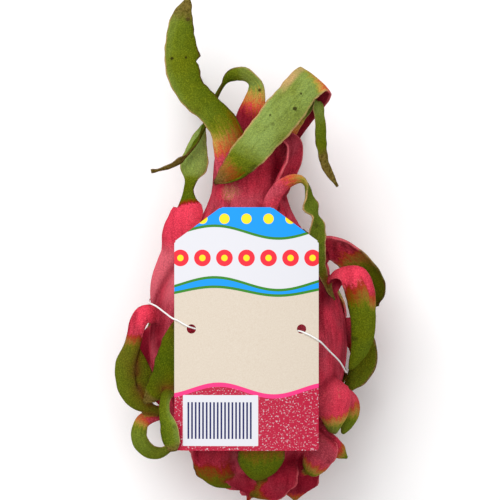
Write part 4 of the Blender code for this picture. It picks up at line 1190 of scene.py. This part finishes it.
def skin_material():
    """Pink skin that turns green along each scale, with dry margins, brown tips and dark spots."""
    n = Nodes("skin")
    place = n.placed()
    tone, edge = n.fact("tone"), n.fact("edge")
    coarse = n.noise(70.0, 3.0, place)
    blotches = n.noise(150.0, 2.0, place)
    fine = n.noise(900.0, 3.0, place, 0.65)
    grain = n.noise(2200.0, 2.0, place, 0.7)
    streaks = n.noise(420.0, 2.0, n.placed(Scale=(1.0, 0.16, 1.0)))
    folds = n.noise(190.0, 2.0, n.placed(Rotation=(0.0, 0.0, 0.32), Scale=(1.0, 0.13, 0.6)))
    veins_at = n.node(
        "ShaderNodeCombineXYZ", {0: n.fact("across"), 1: n.times(n.fact("along"), 0.1), 2: tone}
    )
    veins = n.noise(7.0, 2.0, veins_at)
    ripe = ripeness(n, fine, coarse, veins)
    leafy = n.span(ripe, 0.75, 1.2)

    pink = pink_colour(n, coarse, fine, grain, streaks, folds)
    colour = n.mix(n.span(ripe, 0.0, 0.3), pink, turning_colour(n, ripe))
    colour = n.mix(leafy, colour, leaf_colour(n, coarse, fine, grain, veins))
    # painted shade: deep crimson near the joins of scales and body
    colour = n.mix(n.times(n.fact("crease"), 0.6), colour, PINK_DEEP)

    # faint and dark spots, then the dry margins, which are pale where the skin is pink
    colour = n.mix(n.times(n.span(blotches, 0.66, 0.76, 0.5), leafy), colour, SPOT)
    colour = n.mix(patches(n, fine, SPOTS, 0.85), colour, SPOT)
    worn = n.mix(n.span(n.plus(tone, fine), 0.7, 1.15), BROWN, TAN)
    kept = n.times(edge, n.span(blotches, 0.2, 0.5, 0.9))
    colour = n.mix(n.times(kept, n.span(ripe, 0.0, 0.4)), colour, worn)
    colour = n.mix(n.times(kept, n.span(ripe, 0.0, 0.4, 0.0, bottom=0.6)), colour, PINK_PALE)

    # brown tips, with a ragged border
    dry = n.math("ADD", n.fact("dry"), n.times(n.minus(blotches, 0.5), 0.9), clamp=True)
    colour = n.mix(n.span(dry, 0.3, 0.9, 0.8), colour, n.mix(n.span(fine, 0.4, 0.65), STRAW_DULL, BROWN))
    lightness = n.span(grain, 0.35, 0.65, 1.25, bottom=0.75)
    colour = n.node("ShaderNodeHueSaturation", {"Color": colour, "Value": lightness})

    height = n.plus(n.plus(n.times(fine, 1.2), n.times(streaks, 0.7)), n.times(veins, 0.8))
    n.set(
        base_color=colour,
        roughness=n.span(ripe, 0.2, 0.9, 0.5, bottom=0.3),
        specular_ior_level=0.0,
        normal=n.bump(height, 0.0005, 0.8),
    )
    return n.material


def patches(n, fine, places, strength):
    """Ragged patches round the given places, as seen from above."""
    total = 0.0
    seen = n.placed(Scale=(1.0, 1.0, 0.0))
    raggedness = n.plus(n.times(fine, 1.6), 0.2)
    for x, y, reach in places:
        ends = {0: seen, 1: (x * MM, y * MM, 0.0)}
        away = n.node("ShaderNodeVectorMath", ends, output="Value", operation="DISTANCE")
        ragged = n.times(away, raggedness)
        total = n.math("MAXIMUM", total, n.span(ragged, reach * MM, 0.5 * reach * MM, strength))
    return total


def ripeness(n, fine, coarse, veins):
    """0 where the pink ends and 1 where it is all green, with a ragged border."""
    ripe = n.fact("ripe")
    for field, strength in ((fine, 0.7), (coarse, 0.8), (veins, 0.8)):
        ripe = n.plus(ripe, n.times(n.minus(field, 0.5), strength))
    return ripe


def turning_colour(n, ripe):
    """Between pink and green: red and bronze on dark scales, coral and straw on light ones."""
    place = n.span(ripe, 0.0, 1.25)
    dark = n.ramp(place, [(0.0, PINK_DEEP), (0.25, RED_BROWN), (0.55, BRONZE), (0.9, OLIVE)])
    light = n.ramp(place, [(0.0, PINK_BRIGHT), (0.25, CORAL), (0.55, STRAW), (0.9, LIME)])
    return n.mix(n.span(n.fact("tone"), 0.1, 0.7), dark, light)


def leaf_colour(n, coarse, fine, grain, veins):
    """Green skin: mottled, finely grained, darker along its veins, and with painted shade on its hollow
    side.
    """
    green = n.ramp(n.fact("tone"), [(0.0, GREEN_DARK), (0.5, GREEN_MIDDLE), (1.0, GREEN_LIGHT)])
    green = n.layers(green, [
        (coarse, 0.42, 0.68, 0.5, OLIVE),
        (veins, 0.5, 0.75, 0.4, GREEN_DARK),
        (grain, 0.5, 0.8, 0.35, LIME),
        (fine, 0.55, 0.75, 0.3, GREEN_DARK),
    ])
    # painted shade: darker green on the hollow face
    return n.mix(n.times(n.fact("depth"), 0.45), green, GREEN_DARK)


def within(n, u, v, middle, half, rounding):
    """1 inside a rounded rectangle on the tag, 0 outside."""
    across, along = (
        n.minus(n.math("ABSOLUTE", n.minus(place, centre)), reach - rounding)
        for place, centre, reach in zip((u, v), middle, half)
    )
    corner = n.distance(n.math("MAXIMUM", across, 0.0), n.math("MAXIMUM", along, 0.0))
    inside = n.math("MINIMUM", n.math("MAXIMUM", across, along), 0.0)
    return n.math("LESS_THAN", n.plus(corner, inside), rounding)


def band(n, u, v, middle, swing, turns, half):
    """1 inside a level band whose two edges wave together, 0 outside."""
    wave = n.times(n.math("SINE", n.times(u, turns)), swing)
    away = n.math("ABSOLUTE", n.minus(n.plus(v, wave), middle))
    return n.math("LESS_THAN", away, half)


def dots(n, u, v, middle, pitch, radius):
    """1 inside a row of dots along the card, 0 outside."""
    # counted from ten and a half pitches to the left, so that one dot is at the card's middle
    along = n.minus(n.math("MODULO", n.plus(u, 10.5 * pitch), pitch), 0.5 * pitch)
    return n.math("LESS_THAN", n.distance(along, n.minus(v, middle)), radius)


def even_bars(n, u, v):
    """1 on the label's bars, 0 outside. They are all as wide and as far apart."""
    half = 0.5 * BAR_COUNT * BAR_PITCH
    along = n.plus(n.minus(u, LABEL_MIDDLE[0]), half)
    bars = n.math("LESS_THAN", n.math("MODULO", along, BAR_PITCH), BAR_WIDTH)
    return n.times(bars, within(n, u, v, LABEL_MIDDLE, (half, 0.5 * BAR_HEIGHT), 0.01))


def tag_material():
    """Card printed with plain waving bands and dots, and a label of even bars that say nothing."""
    n = Nodes("tag_print")
    place = n.placed()
    u, v = (n.times(part, 1.0 / MM) for part in n.parts(place)[:2])
    card = n.mix(n.span(n.noise(2200.0, 2.0, place), 0.3, 0.7), CARD_BEIGE, CARD_LIGHT)
    grains = n.span(n.noise(1500.0, 2.0, place), 0.58, 0.7, 0.7)

    # the head is a blue field down to a green line, with a white band across it, and the foot
    # is a red field of pale grains up to a pink line
    colour = card
    for course, half, paint in (
        (HEAD, HEAD_HALF + LINE, LEAF_GREEN),
        (HEAD, HEAD_HALF, SKY_BLUE),
        (WHITE_BAND, WHITE_HALF + LINE, LEAF_GREEN),
        (WHITE_BAND, WHITE_HALF, PANEL_WHITE),
        (FOOT, FOOT_HALF + 1.6 * LINE, TRIM_PINK),
        (FOOT, FOOT_HALF, n.mix(grains, TRIM_RED, PANEL_WHITE)),
    ):
        colour = n.mix(band(n, u, v, *course, half), colour, paint)
    for middle, radius, paint in DOT_ROWS:
        colour = n.mix(dots(n, u, v, middle, DOT_PITCH, radius), colour, paint)
    colour = n.mix(within(n, u, v, LABEL_MIDDLE, LABEL_HALF, LABEL_ROUNDING), colour, PANEL_WHITE)
    colour = n.mix(even_bars(n, u, v), colour, BAR_NAVY)

    # only the upper face is printed
    facing = n.parts(n.node("ShaderNodeNewGeometry", output="Normal"))[2]
    colour = n.mix(n.math("GREATER_THAN", facing, 0.6), CARD_LIGHT, colour)
    n.set(base_color=colour, roughness=0.5, specular_ior_level=0.2)
    return n.material


def card_blank():
    """The card's outline with rounded corners, cut into strips that can bow."""
    half_x, half_y, thickness = 0.5 * TAG_WIDTH * MM, 0.5 * TAG_LENGTH * MM, TAG_THICKNESS * MM
    outline = [
        (-half_x, -half_y),
        (half_x, -half_y),
        (half_x, half_y - TAG_CORNER_Y * MM),
        (half_x - TAG_CORNER_X * MM, half_y),
        (-half_x + TAG_CORNER_X * MM, half_y),
        (-half_x, half_y - TAG_CORNER_Y * MM),
    ]
    bm = bmesh.new()
    floor = bm.faces.new([bm.verts.new((x, y, -0.5 * thickness)) for x, y in outline])
    raised = bmesh.ops.extrude_face_region(bm, geom=[floor])
    for item in raised["geom"]:
        if isinstance(item, bmesh.types.BMVert):
            item.co.z += thickness
    upright = [e for e in bm.edges if abs(e.verts[0].co.z - e.verts[1].co.z) > 0.1 * thickness]
    bmesh.ops.bevel(bm, geom=upright, offset=TAG_ROUNDING * MM, segments=TAG_ROUNDING_STEPS, affect="EDGES")
    for i in range(1, TAG_STRIPS):
        geometry = bm.verts[:] + bm.edges[:] + bm.faces[:]
        place = (half_x * (2.0 * i / TAG_STRIPS - 1.0) + STRIP_SHIFT * MM, 0.0, 0.0)
        bmesh.ops.bisect_plane(bm, geom=geometry, plane_co=place, plane_no=(1.0, 0.0, 0.0))
    bmesh.ops.recalc_face_normals(bm, faces=bm.faces)
    mesh = bpy.data.meshes.new("card")
    bm.to_mesh(mesh)
    bm.free()
    card = bpy.data.objects.new("card", mesh)
    bpy.context.scene.collection.objects.link(card)
    return card


def hole_cutters():
    """Upright cylinders where the string's two holes are."""
    cutters = []
    for side in (-1.0, 1.0):
        bpy.ops.mesh.primitive_cylinder_add(
            vertices=HOLE_SIDES,
            radius=0.5 * HOLE_DIAMETER * MM,
            depth=6.0 * TAG_THICKNESS * MM,
            location=(side * 0.5 * HOLE_SPACING * MM, 0.0, 0.0),
        )
        cutters.append(bpy.context.object)
    return cutters


def make_tag():
    """The card with its two holes, bowed a little over the belly, and printed."""
    card = card_blank()
    boolean(card, "DIFFERENCE", gather("holes", hole_cutters()))
    card.data.materials.clear()
    for vert in card.data.vertices:
        vert.co.z -= vert.co.x**2 / (2.0 * TAG_BOW_RADIUS * MM)
    card.location = (TAG_CENTRE[0] * MM, TAG_CENTRE[1] * MM, (TAG_TOP - 0.5 * TAG_THICKNESS) * MM)
    card.data.shade_smooth()
    card.data.set_sharp_from_angle(angle=math.radians(TAG_SHARP_ANGLE))
    card.data.materials.append(tag_material())
    return card


def make_string():
    """The elastic: a closed curve with a round bevel."""
    points = curve_through(STRING_ROUTE, STRING_STEPS, closed=True)
    curve = bpy.data.curves.new("elastic", "CURVE")
    curve.dimensions = "3D"
    curve.bevel_depth = 0.5 * STRING_DIAMETER * MM
    curve.bevel_resolution = STRING_BEVEL_STEPS
    spline = curve.splines.new("POLY")
    spline.points.add(len(points) - 1)
    for slot, point in zip(spline.points, points):
        slot.co = (*(value * MM for value in point[:3]), 1.0)
    spline.use_cyclic_u = True
    elastic = bpy.data.objects.new("elastic", curve)
    bpy.context.scene.collection.objects.link(elastic)
    n = Nodes("elastic")
    n.set(base_color=ELASTIC_WHITE, roughness=0.5)
    elastic.data.materials.append(n.material)
    return elastic


def make_camera():
    camera = bpy.data.cameras.new("camera")
    camera.sensor_width = SENSOR_WIDTH
    camera.lens = SENSOR_WIDTH * CAMERA_DISTANCE / VIEW_WIDTH
    camera.clip_end = VIEW_DEPTH_METRES
    obj = bpy.data.objects.new("camera", camera)
    obj.location = (VIEW_CENTRE[0] * MM, VIEW_CENTRE[1] * MM, (AXIS_HEIGHT + CAMERA_DISTANCE) * MM)
    bpy.context.scene.collection.objects.link(obj)
    bpy.context.scene.camera = obj


def area_light(name, place, size, power):
    """A square soft light that points at the fruit's middle."""
    light = bpy.data.lights.new(name, "AREA")
    light.size = size
    light.energy = power
    obj = bpy.data.objects.new(name, light)
    obj.location = place
    obj.rotation_euler = (Vector(LIT_MIDDLE) - Vector(place)).to_track_quat("-Z", "Y").to_euler()
    bpy.context.scene.collection.objects.link(obj)


def make_stage():
    """A pale floor, a pale world and soft lights."""
    corners = [(x * FLOOR_HALF, y * FLOOR_HALF, 0.0) for x, y in ((-1, -1), (1, -1), (1, 1), (-1, 1))]
    floor = mesh_object("floor", corners, [(0, 1, 2, 3)])
    n = Nodes("floor")
    n.set(base_color=FLOOR_WHITE, roughness=0.9)
    floor.data.materials.append(n.material)
    world = bpy.data.worlds.new("studio")
    world.use_nodes = True
    background = world.node_tree.nodes["Background"]
    background.inputs["Color"].default_value = (1.0, 1.0, 1.0, 1.0)
    background.inputs["Strength"].default_value = WORLD_STRENGTH
    bpy.context.scene.world = world
    for light in LIGHTS:
        area_light(*light)
    bpy.context.scene.view_settings.view_transform = "Standard"


def main():
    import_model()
    make_camera()
    make_stage()
    fruit = make_fruit()
    fruit.data.materials.clear()
    fruit.data.materials.append(skin_material())
    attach(fruit, "root")
    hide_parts("dragon_fruit")
    for piece, node in ((make_tag(), "tag"), (make_string(), "tag_string")):
        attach(piece, "root")
        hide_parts(node)
        "tag_card" if node == "tag" else node


main()
